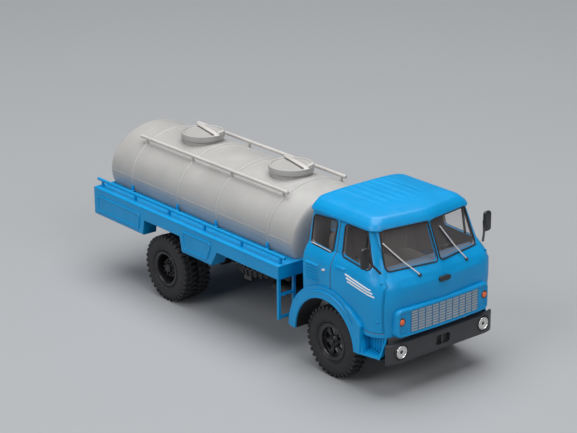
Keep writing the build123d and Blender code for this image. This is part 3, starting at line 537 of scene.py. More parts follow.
FRONT_DISH = 1.9
FRONT_END = TYRE_W - 0.7
FRONT_RIM = {
    "barrel": (
        (FRONT_END, RIM_R - 0.05), (0.75, RIM_R - 0.03), (0.45, RIM_R - 0.15), (0.4, RIM_R - 0.4),
        (0.6, RIM_R - 0.55), (0.65, RIM_R - 1.5), (0.85, RIM_R - 1.75), (FRONT_DISH, RIM_R - 1.95),
        (FRONT_DISH + 0.5, RIM_R - 2.0), (FRONT_END, RIM_R - 0.8),
    ),
    "disc": (FRONT_DISH, 0.8, 2.0, RIM_R - 1.9, 6, 0.62),
    "hub": (
        (FRONT_DISH + 0.7, 2.3), (FRONT_DISH - 0.2, 2.3), (FRONT_DISH - 0.4, 2.1), (1.2, 2.0), (1.0, 1.8),
        (1.0, 1.2), (0.45, 1.05), (0.35, 0.9), (0.35, 0.35),
    ),
    "nuts": ((8, 0.0, 1.55, 1.05, 0.24, 0.3), (4, 0.3, 0.62, 0.4, 0.2, 0.18)),
}
REAR_DISH = TYRE_W - 0.6
REAR_END = 2 * TYRE_W + DUAL_GAP - 0.7
REAR_RIM = {
    "barrel": (
        (REAR_END, RIM_R - 0.05), (0.75, RIM_R - 0.03), (0.4, RIM_R - 0.15), (0.22, RIM_R - 0.45),
        (0.2, RIM_R - 0.8), (0.35, RIM_R - 1.2), (0.7, RIM_R - 1.45), (REAR_DISH, RIM_R - 1.6),
        (REAR_DISH + 1.3, RIM_R - 1.5), (REAR_END, RIM_R - 0.7),
    ),
    "disc": (REAR_DISH, 0.7, 2.8, RIM_R - 1.4, 6, 0.45),
    "hub": (
        (REAR_DISH + 0.8, 3.8), (2.9, 3.7), (2.4, 3.5), (2.3, 3.2), (2.3, 1.9), (2.0, 1.75), (1.2, 1.5),
        (1.1, 1.35), (1.1, 0.3),
    ),
    "nuts": ((10, 0.0, 2.65, 2.3, 0.46, 0.7), (6, 0.2, 0.95, 1.15, 0.24, 0.3)),
}


def add_rim(name, matrix, body, node_name, rim):
    bm = bmesh.new()
    lathe(bm, rim["barrel"], WHEEL_SEGMENTS, matrix, closed=True)
    windowed_disc(bm, matrix, *rim["disc"])
    lathe(bm, rim["hub"], 48, matrix, ends=(-1,))
    for nut_circle in rim["nuts"]:
        nuts(bm, matrix, *nut_circle)
    solid(name, bm, "rim_black", body=body, replaced=(node_name,))


# Wheels on the two axles, and the spare one lying flat
def wheel_place(axle_x, face_y, side):
    return facing_side((axle_x, side * face_y * MM, TYRE_R * MM), side)


for side, side_name in SIDES:
    front_place = wheel_place(FRONT_AXLE_X, FRONT_FACE_Y, side)
    add_tyre(f"front_tyre_{side_name}", front_place, FRONT, "front_tyres")
    add_rim(f"front_rim_{side_name}", front_place, FRONT, "front_rims", FRONT_RIM)
    for twin, twin_name in enumerate(("outer", "inner")):
        twin_place = wheel_place(REAR_AXLE_X, REAR_FACE_Y - twin * (TYRE_W + DUAL_GAP), side)
        add_tyre(f"rear_tyre_{twin_name}_{side_name}", twin_place, REAR, "rear_tyres")
    rear_place = wheel_place(REAR_AXLE_X, REAR_FACE_Y, side)
    add_rim(f"rear_rim_{side_name}", rear_place, REAR, "rear_rims", REAR_RIM)

spare_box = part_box("spare_tyre")
spare_middle = (Vector(spare_box[0]) + Vector(spare_box[1])) / 2
spare_place = Matrix.Translation((spare_middle.x, spare_middle.y, spare_box[0][2]))
spare_place = spare_place @ Matrix.Rotation(-math.pi / 2, 4, "X")
add_tyre("spare_wheel_tyre", spare_place, TRUCK, "spare_tyre")
add_rim("spare_wheel_rim", spare_place, TRUCK, "spare_rim", FRONT_RIM)


# Rays from outside find the cab's skin and the windscreen
RAY_START = 60


def skin_tree(node_name):
    mesh = frame["nodes"][node_name].data
    return BVHTree.FromPolygons([v.co for v in mesh.vertices], [p.vertices for p in mesh.polygons])


cab_tree = skin_tree("cab_shell")
glass_tree = skin_tree("windscreen_glass")


def on_side(side, x, z, lift=0.0):
    hit = cab_tree.ray_cast(at(x, side * RAY_START, z), Vector((0, -side, 0)))[0]
    return hit + Vector((0, side * lift * MM, 0))


def on_front(y, z):
    return cab_tree.ray_cast(at(RAY_START, y, z), Vector((-1, 0, 0)))[0]


def on_screen(y, z, lift):
    # A point before the windscreen or the cab, whichever is nearer
    start = at(RAY_START, y, z)
    hits = [tree.ray_cast(start, Vector((-1, 0, 0)))[0] for tree in (cab_tree, glass_tree)]
    nearest = max(hit.x for hit in hits if hit)
    return Vector((nearest + lift * MM, y * MM, z * MM))


# Seals round the windows, in (x, z) on the doors and (y, z) on the windscreen
SIDE_WINDOWS = {
    "door": [(3.6, 44.5), (18.2, 43.3), (13.3, 55.2), (3.0, 54.6)],
    "quarter": [(-12.3, 44.7), (-1.5, 44.2), (-1.1, 54.7), (-12.8, 53.9)],
}
SCREEN_PANE = [(0.75, 43.2), (20.2, 43.2), (18.9, 55.6), (0.75, 55.6)]
WINDOW_CORNER_R = 1.3
SEAL_OUT = 0.28
SEAL_R = 0.3


def window_seal(name, outline, place):
    ring = grown(rounded_outline(outline, WINDOW_CORNER_R), SEAL_OUT)
    path = [place(point.x, point.y) for point in ring]
    tube(name, path, SEAL_R, "trim_black", closed=True, material=SEAL)


for side, side_name in SIDES:
    for window_name, outline in SIDE_WINDOWS.items():
        window_seal(f"seal_{window_name}_{side_name}", outline, lambda u, v: on_side(side, u, v))
    window_seal(f"seal_screen_{side_name}", SCREEN_PANE, lambda u, v: on_front(side * u, v))

# A vent bar stands in each door window
VENT_X = 13.4
VENT_ENDS = ((21.2, 54.9), (23.2, 43.9))
VENT_R = 0.45
for side, side_name in SIDES:
    post = [at(VENT_X, side * y, z) for y, z in VENT_ENDS]
    tube(f"vent_bar_{side_name}", post, VENT_R, "trim_black", material=SEAL)

# Doors: a sill strip and three plain slanted bars, laid on the cab's skin
SILL_X = (-12.6, -7.0, -1.8)
SILL_Z = 44.739
SILL_SLOPE = -0.055
SILL_R = 0.22
BAR_COUNT = 3
BAR_X = (7.6, 20.2)
BAR_Z = 39.6
BAR_SLOPE = -0.16
BAR_SHIFT = 0.7
BAR_PITCH = 0.95
BAR_H = 0.5
BAR_STEPS = 30
BAR_LEVEL_X = 6.8
BAR_LIFTS = (-0.1, 0.09)


def skin_bar(bm, side, x0, x1, z0):
    # A thin bar from x0 to x1, at z0 where its slope starts
    inner, outer = BAR_LIFTS
    rows = []
    for i in range(BAR_STEPS + 1):
        x = x0 + (x1 - x0) * i / BAR_STEPS
        z = z0 + BAR_SLOPE * (x - BAR_LEVEL_X)
        section = ((z, inner), (z, outer), (z + BAR_H, outer), (z + BAR_H, inner))
        rows.append([bm.verts.new(on_side(side, x, height, lift)) for height, lift in section])
    loft(bm, rows)


for side, side_name in SIDES:
    strip = [on_side(side, x, SILL_Z + SILL_SLOPE * (x - SILL_X[0]), 0.1) for x in SILL_X]
    tube(f"sill_strip_{side_name}", strip, SILL_R, "silver")
    bm = bmesh.new()
    for row in range(BAR_COUNT):
        shift = row * BAR_SHIFT
        skin_bar(bm, side, BAR_X[0] + shift, BAR_X[1] + shift, BAR_Z - row * BAR_PITCH)
    solid(f"door_bars_{side_name}", bm, "silver", material=DECAL_WHITE)

# Wheel arches: rounded beads along the lip and the step, and a fillet into the front leg
ARCH_X = -1.6
ARCH_Z = 13.0
ARCH_STEPS = 32
ARCH_BEADS = (
    # radius of the path, y, radius of the bead, last angle in degrees
    (15.45, 27.05, 0.5, 8),
    (17.5, 27.1, 0.34, 36),
)
ARCH_INNER_Y = 25.2
FILLET_W = 2.15
FILLET_OUTLINE = ((8.6, 29.3), (11.2, 28.2), (13.6, 26.6), (15.3, 25.2), (16.45, 24.0), (16.45, 22.0),
                  (13.7, 22.6), (12.3, 24.5), (10.2, 26.7), (8.3, 28.2))
for side, side_name in SIDES:
    for bead, (arch_r, bead_y, bead_r, last) in enumerate(ARCH_BEADS):
        path = []
        for i in range(ARCH_STEPS + 1):
            turn = math.radians(180 - (180 - last) * i / ARCH_STEPS)
            path.append(at(ARCH_X + arch_r * math.cos(turn), side * bead_y, ARCH_Z + arch_r * math.sin(turn)))
        tube(f"arch_bead_{bead}_{side_name}", path, bead_r, "body_blue")
    plate(f"arch_blend_{side_name}", [Vector(point) for point in FILLET_OUTLINE],
          lambda u, v, h: at(u, side * (ARCH_INNER_Y + h), v), FILLET_W, 0.25, "body_blue")

# Headlamps and indicators
LAMP_Y = 18.8
LAMP_Z = 16.3
BUMPER_X = 27.5
INDICATOR_X = 27.62
INDICATOR_Z = 26.9
LAMP_SEGMENTS = 48
LAMP_SURROUND = [(0.2, 2.95), (-0.12, 2.9), (-0.16, 2.78), (0.0, 2.7), (0.1, 2.68)]
LAMP_GAP = [(0.0, 2.74), (-0.02, 2.7), (-0.02, 2.3), (0.6, 2.25)]
LAMP_RING = [(0.9, 2.28), (-0.1, 2.28), (-0.26, 2.18), (-0.26, 2.05), (-0.08, 1.95), (0.1, 1.92)]
LAMP_DISC = [(0.2, 2.0), (0.0, 1.95), (-0.12, 1.55), (-0.14, 0.85), (0.0, 0.62), (0.3, 0.55)]
LAMP_BULB = [(0.3, 0.6), (0.22, 0.5), (0.05, 0.28), (0.0, 0.12)]
INDICATOR = [(0.4, 1.05), (-0.12, 1.05), (-0.36, 0.8), (-0.47, 0.4)]
INDICATOR_RING = [(0.35, 1.42), (-0.12, 1.36), (-0.14, 1.12), (0.3, 1.08)]
for side, side_name in SIDES:
    lamp = facing_front(at(BUMPER_X, side * LAMP_Y, LAMP_Z))
    turned(f"headlamp_surround_{side_name}", LAMP_SURROUND, LAMP_SEGMENTS, lamp, "bumper_grey")
    # The gap ring round the lamp carries painted shade
    turned(f"headlamp_gap_{side_name}", LAMP_GAP, LAMP_SEGMENTS, lamp, "trim_black", material=PAINTED_SHADE_GAP)
    turned(f"headlamp_ring_{side_name}", LAMP_RING, LAMP_SEGMENTS, lamp, "chrome",
           replaced=("headlamp_bezels",))
    turned(f"headlamp_disc_{side_name}", LAMP_DISC, LAMP_SEGMENTS, lamp, "lens_clear", material=LAMP_WHITE,
           replaced=("headlamp_lenses",))
    turned(f"headlamp_bulb_{side_name}", LAMP_BULB, 24, lamp, "trim_black", (-1,))
    indicator = facing_front(at(INDICATOR_X, side * LAMP_Y, INDICATOR_Z))
    turned(f"indicator_{side_name}", INDICATOR, 36, indicator, "orange_lens", (-1,),
           replaced=("indicator_lamps",))
    turned(f"indicator_ring_{side_name}", INDICATOR_RING, 36, indicator, "trim_black")

# Mirrors: a rounded shell with a silvered face behind, on a bent arm
MIRROR_X = 19.2
MIRROR_BACK_X = MIRROR_X - 0.45
MIRROR_SHELL_W = 0.95
MIRROR_RIM = 0.35
MIRROR_OUTLINE = rectangle(26.25, 29.35, 45.25, 52.35)
MIRROR_ARM = ((2.6, 23.3, 43.3), (2.0, 24.2, 44.6), (1.0, 25.4, 46.2), (0.3, 25.95, 47.6), (0.0, 26.1, 49.5))
for side, side_name in SIDES:
    outline = rounded_outline(MIRROR_OUTLINE, 0.8)
    plate(f"mirror_shell_{side_name}", outline, lambda u, v, h: at(MIRROR_BACK_X + h, side * u, v),
          MIRROR_SHELL_W, MIRROR_RIM, "trim_black", 50, replaced=("mirrors",))
    plate(f"mirror_face_{side_name}", grown(outline, -MIRROR_RIM),
          lambda u, v, h: at(MIRROR_BACK_X - h, side * u, v), 0.08, 0.03, "chrome")
    arm = [at(MIRROR_X + x, side * y, z) for x, y, z in MIRROR_ARM]
    tube(f"mirror_arm_{side_name}", arm, 0.4, "trim_black", smooth=True)

# Wipers: silver arms from a boss below the glass, each with a dark blade
WIPERS = {
    # (y, z) of the boss and of the tip
    "right": ((-9.3, 40.5), (-19.4, 51.9)),
    "left": ((12.3, 40.6), (4.3, 52.9)),
}
# Share of the arm's length, lift from the glass and shift along y
WIPER_ARM = ((0.0, 0.3, 0.0), (0.08, 0.75, 0.0), (0.4, 0.9, -0.15), (0.75, 0.75, -0.1), (1.0, 0.5, 0.0))
WIPER_BLADE = ((0.38, 0.36, -0.75), (0.68, 0.36, -0.65), (0.97, 0.34, -0.5))
WIPER_BOSS = [(0.4, 0.7), (-0.35, 0.62), (-0.5, 0.4)]


def wiper_path(boss, tip, stations):
    path = []
    for share, lift, shift in stations:
        y = boss[0] + (tip[0] - boss[0]) * share + shift
        z = boss[1] + (tip[1] - boss[1]) * share
        path.append(on_screen(y, z, lift))
    return path


for side_name, (boss, tip) in WIPERS.items():
    tube(f"wiper_arm_{side_name}", wiper_path(boss, tip, WIPER_ARM), 0.25, "silver", replaced=("wipers",))
    tube(f"wiper_blade_{side_name}", wiper_path(boss, tip, WIPER_BLADE), 0.17, "trim_black")
    place = facing_front(on_screen(*boss, 0.0))
    turned(f"wiper_boss_{side_name}", WIPER_BOSS, 20, place, "trim_black", (-1,))

# Door handles, each a body-coloured ridge and a small silver knob, and two hinge dots
RIDGE = rounded_outline(rectangle(2.4, 7.3, 40.75, 41.45), 0.3, 3)
KNOB = rounded_outline([(-3.7, 37.6), (-2.2, 37.9), (-2.3, 38.6), (-3.8, 38.3)], 0.25, 3)
HINGES = {"upper": (22.6, 40.2), "lower": (22.3, 27.0)}
HINGE_DOT = [(0.3, 0.5), (-0.15, 0.5), (-0.3, 0.3)]
for side, side_name in SIDES:
    plate(f"door_ridge_{side_name}", RIDGE, lambda u, v, h: on_side(side, u, v, h - 0.15), 0.5, 0.15,
          "body_blue", 50, replaced=("door_handles",))
    plate(f"door_knob_{side_name}", KNOB, lambda u, v, h: on_side(side, u, v, h - 0.1), 0.45, 0.12,
          "silver", 50)
    for hinge_name, (hinge_x, hinge_z) in HINGES.items():
        place = facing_side(on_side(side, hinge_x, hinge_z), side)
        turned(f"hinge_{hinge_name}_{side_name}", HINGE_DOT, 16, place, "body_blue", (-1,))

# Hatches: a rimmed lid over a dark gap, with a strap and its latch
HATCHES_X = (-103.6, -51.5)
HATCH_TOP_Z = 57.6
STRAP_Z = HATCH_TOP_Z + 0.3
STRAP = ((-8.3, 3.9, STRAP_Z - 0.6), (-7.6, 3.8, STRAP_Z), (7.6, 0.5, STRAP_Z), (8.4, 0.3, STRAP_Z - 0.6))
LATCH = ((7.4, 1.2, STRAP_Z), (6.0, 4.8, STRAP_Z))
HATCH_LID = [(2.3, 6.9), (2.3, 7.9), (2.15, 8.2), (0.35, 8.35), (0.1, 8.3), (0.0, 8.15), (0.0, 7.5),
             (0.12, 7.3), (0.4, 7.2), (0.45, 6.0), (0.36, 3.0), (0.34, 0.6)]
HATCH_NECK = [(2.2, 7.35), (4.6, 7.35)]
for hatch, hatch_x in enumerate(HATCHES_X):
    place = facing_up(at(hatch_x, 0, HATCH_TOP_Z))
    turned(f"hatch_lid_{hatch}", HATCH_LID, 72, place, "tank_grey", (-1, 0), 25, replaced=("hatch_lids",))
    turned(f"hatch_neck_{hatch}", HATCH_NECK, 64, place, "tank_grey")
    # The strap and latch are painted lighter than the lid: painted light
    strap = [at(hatch_x + x, y, z) for x, y, z in STRAP]
    flat_bar(f"hatch_strap_{hatch}", strap, 2.0, 0.6, "tank_grey", material=PAINTED_LIGHT_GREY,
             replaced=("hatch_clamps",))
    latch = [at(hatch_x + x, y, z) for x, y, z in LATCH]
    flat_bar(f"hatch_latch_{hatch}", latch, 1.5, 0.9, "tank_grey", material=PAINTED_LIGHT_GREY)

# Seats with crowned cushions on plain boxes
SEAT_Y = 12.0
SEAT_HALF_W = 5.0
BASE_X = (-7, 1)
BASE_HALF_W = 3.5
BASE_Z = (23.6, 31.0)
CUSHION_ROWS = 16
CUSHION_SEGMENTS = 32
CUSHION_CROWN = 0.45
CUSHION_CORNER = 0.35


def soft_power(value, power):
    return math.copysign(abs(value) ** power, value)


def cushion(bm, x_limits, y, z_limits, tilt):
    # A superellipsoid between the given limits, leaning back by the tilt
    middle = Vector((sum(x_limits) / 2, y, sum(z_limits) / 2))
    half = Vector(((x_limits[1] - x_limits[0]) / 2, SEAT_HALF_W, (z_limits[1] - z_limits[0]) / 2))
    lean = Matrix.Rotation(tilt, 3, "Y")
    rows = []
    for i in range(CUSHION_ROWS + 1):
        rise = -math.pi / 2 + math.pi * i / CUSHION_ROWS
        level = soft_power(math.cos(rise), CUSHION_CROWN)
        height = soft_power(math.sin(rise), CUSHION_CROWN)
        row = []
        for k in range(CUSHION_SEGMENTS):
            turn = 2 * math.pi * k / CUSHION_SEGMENTS
            across = level * soft_power(math.cos(turn), CUSHION_CORNER)
            sideways = level * soft_power(math.sin(turn), CUSHION_CORNER)
            point = middle + lean @ Vector((across * half.x, sideways * half.y, height * half.z))
            row.append(bm.verts.new(at(*point)))
        rows.append(row)
    bridge(bm, rows)
    bmesh.ops.remove_doubles(bm, verts=bm.verts, dist=0.000001)


for y, seat_name in ((-SEAT_Y, "right"), (SEAT_Y, "left")):
    bm = bmesh.new()
    cushion(bm, (-9.4, 3.0), y, (30.4, 34.6), 0.0)
    cushion(bm, (-11.6, -8.6), y, (32.0, 47.0), -0.06)
    seat = solid(f"seat_{seat_name}", bm, "seat", 60, replaced=("seats",))
    bm = bmesh.new()
    corners = rectangle(*BASE_X, y - BASE_HALF_W, y + BASE_HALF_W)
    block(bm, *([at(*corner, z) for corner in corners] for z in BASE_Z))
    solid(f"seat_base_{seat_name}", bm, "interior")

# Tank: a smooth elliptical barrel with dished ends, rounded bands and a fine seam
TANK_A = 20.65
TANK_B = 15.5
TANK_Z = 39.05
TANK_REAR_X = -137.3
TANK_FRONT_X = -24.4
TANK_CUT_Z = 33.2
DOME = 2.6
DOME_FACE = 0.62
DOME_STEPS = 9
TANK_SEGMENTS = 160
BANDS_X = (-121.2, -92.5, -69.2, -39.7)
BAND_PROFILE = ((-0.85, -0.1), (-0.7, 0.2), (-0.4, 0.42), (0.0, 0.5), (0.4, 0.42), (0.7, 0.2), (0.85, -0.1))
BAND_STEPS = 120
SEAM_R = 0.16


def add_tank_barrel():
    dome = []
    for step in range(DOME_STEPS + 1):
        turn = math.pi / 2 * step / DOME_STEPS
        dome.append((DOME * (1 - math.cos(turn)), DOME_FACE + (1 - DOME_FACE) * math.sin(turn)))
    stations = [(TANK_REAR_X + depth, scale) for depth, scale in dome]
    stations += [(TANK_FRONT_X - depth, scale) for depth, scale in reversed(dome)]
    bm = bmesh.new()
    rings = []
    for x, scale in stations:
        ring = []
        for i in range(TANK_SEGMENTS):
            turn = 2 * math.pi * i / TANK_SEGMENTS
            z = TANK_Z + TANK_B * scale * math.sin(turn)
            ring.append(bm.verts.new(at(x, TANK_A * scale * math.cos(turn), max(z, TANK_CUT_Z))))
        rings.append(ring)
    loft(bm, rings)
    solid("tank_barrel", bm, "tank_grey", replaced=("tank_shell",))


def add_tank_bands():
    # Each band runs over the tank from deck to deck
    deck_turn = math.asin((TANK_CUT_Z - TANK_Z) / TANK_B)
    bm = bmesh.new()
    for band_x in BANDS_X:
        rows = []
        for i in range(BAND_STEPS + 1):
            turn = deck_turn + (math.pi - 2 * deck_turn) * i / BAND_STEPS
            row = []
            for offset, proud in BAND_PROFILE:
                y = (TANK_A + proud) * math.cos(turn)
                z = TANK_Z + (TANK_B + proud) * math.sin(turn)
                row.append(bm.verts.new(at(band_x + offset, y, z)))
            rows.append(row)
        bridge(bm, rows, closed=False)
    solid("tank_ridges", bm, "tank_grey", 60, replaced=("tank_bands",))


add_tank_barrel()
add_tank_bands()
for side, side_name in SIDES:
    seam = [at(x, side * (TANK_A - 0.02), TANK_Z) for x in (TANK_REAR_X + DOME, TANK_FRONT_X - DOME)]
    tube(f"tank_seam_{side_name}", seam, SEAM_R, "tank_grey")

# Raised beads round the locker doors
PLATFORM_HALF_W = 28.4
LOCKER_BEAD_R = 0.46
LOCKER_DOORS = (
    [(-133.3, 30.1), (-133.3, 24.4), (-107.2, 24.4), (-106.3, 30.1)],
    [(-79.2, 30.7), (-78.1, 24.4), (-65.0, 24.4), (-62.4, 30.7)],
)
for side, side_name in SIDES:
    for door, outline in enumerate(LOCKER_DOORS):
        door_edge = grown(rounded_outline(outline, 0.9), 0.1)
        ring = [at(point.x, side * PLATFORM_HALF_W, point.y) for point in door_edge]
        tube(f"locker_bead_{door}_{side_name}", ring, LOCKER_BEAD_R, "body_blue", closed=True)

# A rounded edge runs round the top of the platform
DECK_TOP_Z = 33.0
DECK_EDGE_R = 0.5
deck_low, deck_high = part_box("platform")
deck_front_x = (deck_high[0] - FRONT_AXLE_X) / MM - DECK_EDGE_R + 0.06
deck_rear_x = (deck_low[0] - FRONT_AXLE_X) / MM + DECK_EDGE_R - 0.06
deck_side_y = PLATFORM_HALF_W - DECK_EDGE_R + 0.14
deck_corners = rectangle(deck_rear_x, deck_front_x, -deck_side_y, deck_side_y)
edge = [at(point.x, point.y, DECK_TOP_Z) for point in rounded_outline(deck_corners, 0.8)]
tube("deck_edge_bead", edge, DECK_EDGE_R, "body_blue", closed=True)

# Steps below the doors: a sloping ribbed floor, a ribbed back wall and a triangular front wall
STEP_REAR_X = 16.4
STEP_FRONT_X = 24.3
STEP_IN_Y = 22.0
STEP_WALL_Y = 22.7
STEP_REAR_Y = 27.2
STEP_FRONT_Y = 25.4
STEP_LOW_Z = 14.2
STEP_WALL_Z = 21.6
STEP_FLOOR_Z = (15.7, 15.7, 14.9, 14.9)
RIB_COUNT = 5
RIB_PITCH = 1.35
RIB_W = 0.45
RIB_WALL_Y = (22.5, 23.0)
RIB_WALL_Z = (15.2, 21.4)
RIB_FLOOR_Z = ((15.4, 15.4, 14.6, 14.6), (15.9, 15.9, 15.15, 15.15))


def add_step(side, side_name):
    bm = bmesh.new()
    plan = [(STEP_REAR_X, STEP_IN_Y), (STEP_FRONT_X, STEP_IN_Y), (STEP_FRONT_X, STEP_FRONT_Y),
            (STEP_REAR_X, STEP_REAR_Y)]
    block(bm, [at(x, side * y, STEP_LOW_Z) for x, y in plan],
          [at(x, side * y, z) for (x, y), z in zip(plan, STEP_FLOOR_Z)])
    wall = rectangle(STEP_REAR_X, STEP_FRONT_X, STEP_IN_Y, STEP_WALL_Y)
    block(bm, *([at(x, side * y, z) for x, y in wall] for z in (STEP_LOW_Z, STEP_WALL_Z)))
    for i in range(RIB_COUNT):
        rib_x = STEP_REAR_X + 0.9 + i * RIB_PITCH
        upright = rectangle(rib_x, rib_x + RIB_W, *RIB_WALL_Y)
        block(bm, *([at(x, side * y, z) for x, y in upright] for z in RIB_WALL_Z))
        floor_rib = rectangle(rib_x, rib_x + RIB_W, 22.6, 27.0 - 0.228 * (rib_x - STEP_REAR_X))
        block(bm, *([at(x, side * y, z) for (x, y), z in zip(floor_rib, levels)] for levels in RIB_FLOOR_Z))
    triangle = [(STEP_IN_Y, STEP_LOW_Z), (STEP_FRONT_Y, STEP_LOW_Z), (STEP_FRONT_Y, 15.2),
                (STEP_IN_Y, STEP_WALL_Z)]
    block(bm, *([at(x, side * y, z) for y, z in triangle] for x in (STEP_FRONT_X - 0.7, STEP_FRONT_X)))
    solid(f"cab_step_{side_name}", bm, "body_blue", replaced=("cab_steps",))


for side, side_name in SIDES:
    add_step(side, side_name)

# Grille: a rimmed panel with silver slats, and small outlines by the lamps
GRILLE_FACE_X = 28.5
GRILLE_BOW = 0.8
GRILLE_HALF_W = 20.8
GRILLE_LOW_Z = 21.2
GRILLE_HIGH_Z = 31.1
GRILLE_MIDDLE_Z = (GRILLE_LOW_Z + GRILLE_HIGH_Z) / 2
GRILLE_CORNER_R = 1.9
GRILLE_FLOOR = -0.3
GRILLE_RIM = (
    # inset of the outline, height over the face
    (0.0, -3.6), (0.0, -0.75), (0.1, -0.4), (0.35, -0.12), (0.7, 0.0), (1.0, -0.04), (1.2, -0.18),
    (1.3, GRILLE_FLOOR),
)
SLAT_COLUMNS = 10
SLAT_ROWS = 8
SLATS_RIGHT_Y = -15.1
SLATS_Z = (22.5, 30.0)
SLAT_PITCH_Y = 3.06
SLAT_PITCH_Z = (SLATS_Z[1] - SLATS_Z[0]) / SLAT_ROWS
SLAT_HALF_W = SLAT_PITCH_Y / 2 - 0.22
SLAT_HALF_H = SLAT_PITCH_Z * 0.3
LAMP_OUTLINE = rounded_outline(rectangle(16.6, 19.2, 22.9, 24.3), 0.4, 3)
LAMP_DASH_Y = (17.2, 19.0)
LAMP_DASH_Z = 29.2


def grille_point(y, z, proud):
    return at(GRILLE_FACE_X - GRILLE_BOW * (y / GRILLE_HALF_W) ** 2 + proud, y, z)


def lower_edge(inset):
    # The lower half of the panel's outline, from its right middle to its left middle
    half = GRILLE_HALF_W - inset
    low = GRILLE_LOW_Z + inset
    radius = max(GRILLE_CORNER_R - inset, 0.5)
    points = [(-half, GRILLE_MIDDLE_Z)]
    for i in range(7):
        turn = math.pi + math.pi / 2 * i / 6
        points.append((-half + radius + radius * math.cos(turn), low + radius + radius * math.sin(turn)))
    corner = points[:]
    for i in range(1, 24):
        points.append(((-half + radius) * (1 - i / 12), low))
    return points + [(-y, z) for y, z in reversed(corner)]


def add_grille_panel():
    bm = bmesh.new()
    rings = []
    for inset, proud in GRILLE_RIM:
        lower = lower_edge(inset)
        upper = [(y, 2 * GRILLE_MIDDLE_Z - z) for y, z in lower[1:-1]]
        rings.append([bm.verts.new(grille_point(y, z, proud)) for y, z in lower + upper[::-1]])
    bridge(bm, rings)
    for ring in (rings[0], rings[-1]):
        half = len(ring) // 2
        bm.faces.new((ring[0], ring[1], ring[-1]))
        for i in range(1, half - 1):
            bm.faces.new((ring[i], ring[i + 1], ring[-i - 1], ring[-i]))
        bm.faces.new((ring[half - 1], ring[half], ring[half + 1]))
    solid("grille_panel_rimmed", bm, "body_blue", 40, replaced=("grille_panel",))


def add_slats():
    # Each slat's face leans down a little
    corners = rectangle(-SLAT_HALF_W, SLAT_HALF_W, -1, 1)
    bm = bmesh.new()
    for column in range(SLAT_COLUMNS):
        for row in range(SLAT_ROWS):
            y = SLATS_RIGHT_Y + (column + 0.5) * SLAT_PITCH_Y
            z = SLATS_Z[0] + (row + 0.5) * SLAT_PITCH_Z
            faces = []
            for proud, lean in ((-0.2, 0.0), (0.2, -0.06)):
                faces.append([grille_point(y + dy, z + end * SLAT_HALF_H, GRILLE_FLOOR + proud + lean * end)
                              for dy, end in corners])
            block(bm, *faces)
    solid("grille_slats", bm, "silver", material=SLAT, replaced=("grille_insert",))


add_grille_panel()
add_slats()
# Lines between the slats in darkened blue: painted shade between the slats
for divider in range(SLAT_COLUMNS + 1):
    line = [grille_point(SLATS_RIGHT_Y + divider * SLAT_PITCH_Y, z, GRILLE_FLOOR) for z in SLATS_Z]
    tube(f"grille_line_{divider}", line, 0.09, "body_blue", material=DARK_BLUE)
for side, side_name in SIDES:
    path = [grille_point(side * point.x, point.y, GRILLE_FLOOR) for point in LAMP_OUTLINE]
    tube(f"lamp_outline_{side_name}", path, 0.13, "body_blue", closed=True)
    dash = [grille_point(side * y, LAMP_DASH_Z, GRILLE_FLOOR) for y in LAMP_DASH_Y]
    tube(f"lamp_dash_{side_name}", dash, 0.16, "body_blue")

# A pale ledge behind the windscreen, over the dashboard
LEDGE_PLAN = ((18.2, -20.6), (19.9, -20.6), (23.8, -1.0), (23.8, 1.0), (19.9, 20.6), (18.2, 20.6))
LEDGE_Z = (41.9, 42.9)
bm = bmesh.new()
block(bm, *([at(x, y, z) for x, y in LEDGE_PLAN] for z in LEDGE_Z))
solid("dash_ledge", bm, "interior", material=LEDGE)

# Roof: a low crown inside a sloping brow, with soft flutes along it
ROOF_STEPS = (
    # inset from the drip rail, z
    (0.0, 55.5), (-0.12, 55.75), (-0.12, 56.0), (0.12, 56.3), (0.3, 56.9), (1.2, 57.85), (2.3, 58.9),
    (2.8, 59.2), (3.5, 59.45), (4.5, 59.65), (7.0, 60.05), (10.5, 60.5), (14.0, 60.82), (16.0, 60.93),
)
ROOF_NOSE_X = 20.05
ROOF_NOSE_RISE = 0.85
ROOF_NOSE_DEPTH = 3.3
ROOF_HALF_W = 21.95
ROOF_REAR_X = -15.45
ROOF_CORNERS = (2.4, 3.6, 12.0, 3.6, 2.4)
FLUTE_SECTION = ((-1.3, -0.05), (-0.9, 0.07), (-0.5, 0.15), (0.0, 0.17), (0.5, 0.15), (0.9, 0.07),
                 (1.3, -0.05))
FLUTE_STEPS = 40
FLUTE_X = (-13.2, 9.6)
FLUTE_PITCH = 3.4
FLUTE_SUNK = 0.05

roof = bmesh.new()
rings = []
for inset, z in ROOF_STEPS:
    nose = ROOF_NOSE_X - ROOF_NOSE_RISE * inset
    corner = nose - ROOF_NOSE_DEPTH + 0.13 * inset
    half = ROOF_HALF_W - inset
    rear = ROOF_REAR_X + 0.2 * inset
    plan = [(rear, -half), (corner, -half), (nose, 0), (corner, half), (rear, half)]
    outline = rounded_outline(plan, ROOF_CORNERS, 6)
    rings.append([roof.verts.new(at(point.x, point.y, z)) for point in outline])
bridge(roof, rings)
roof.faces.new(rings[-1])
roof_tree = BVHTree.FromBMesh(roof)
solid("roof_panel", roof, "body_blue", 40)


def roof_height(x, y):
    hit = roof_tree.ray_cast(at(x, y, 80), Vector((0, 0, -1)))[0]
    return hit.z / MM


def add_flutes():
    # Soft ribs that fade into the roof at both ends
    bm = bmesh.new()
    for flute in range(-3, 4):
        rows = []
        for i in range(FLUTE_STEPS + 1):
            x = FLUTE_X[0] + (FLUTE_X[1] - FLUTE_X[0]) * i / FLUTE_STEPS
            fade = min(1.0, i / 2, (FLUTE_STEPS - i) / 8)
            row = []
            for offset, proud in FLUTE_SECTION:
                y = flute * FLUTE_PITCH + offset
                lift = (proud + FLUTE_SUNK) * fade - FLUTE_SUNK
                row.append(bm.verts.new(at(x, y, roof_height(x, y) + lift)))
            rows.append(row)
        bridge(bm, rows, closed=False)
    solid("roof_flutes", bm, "body_blue", 60)


add_flutes()

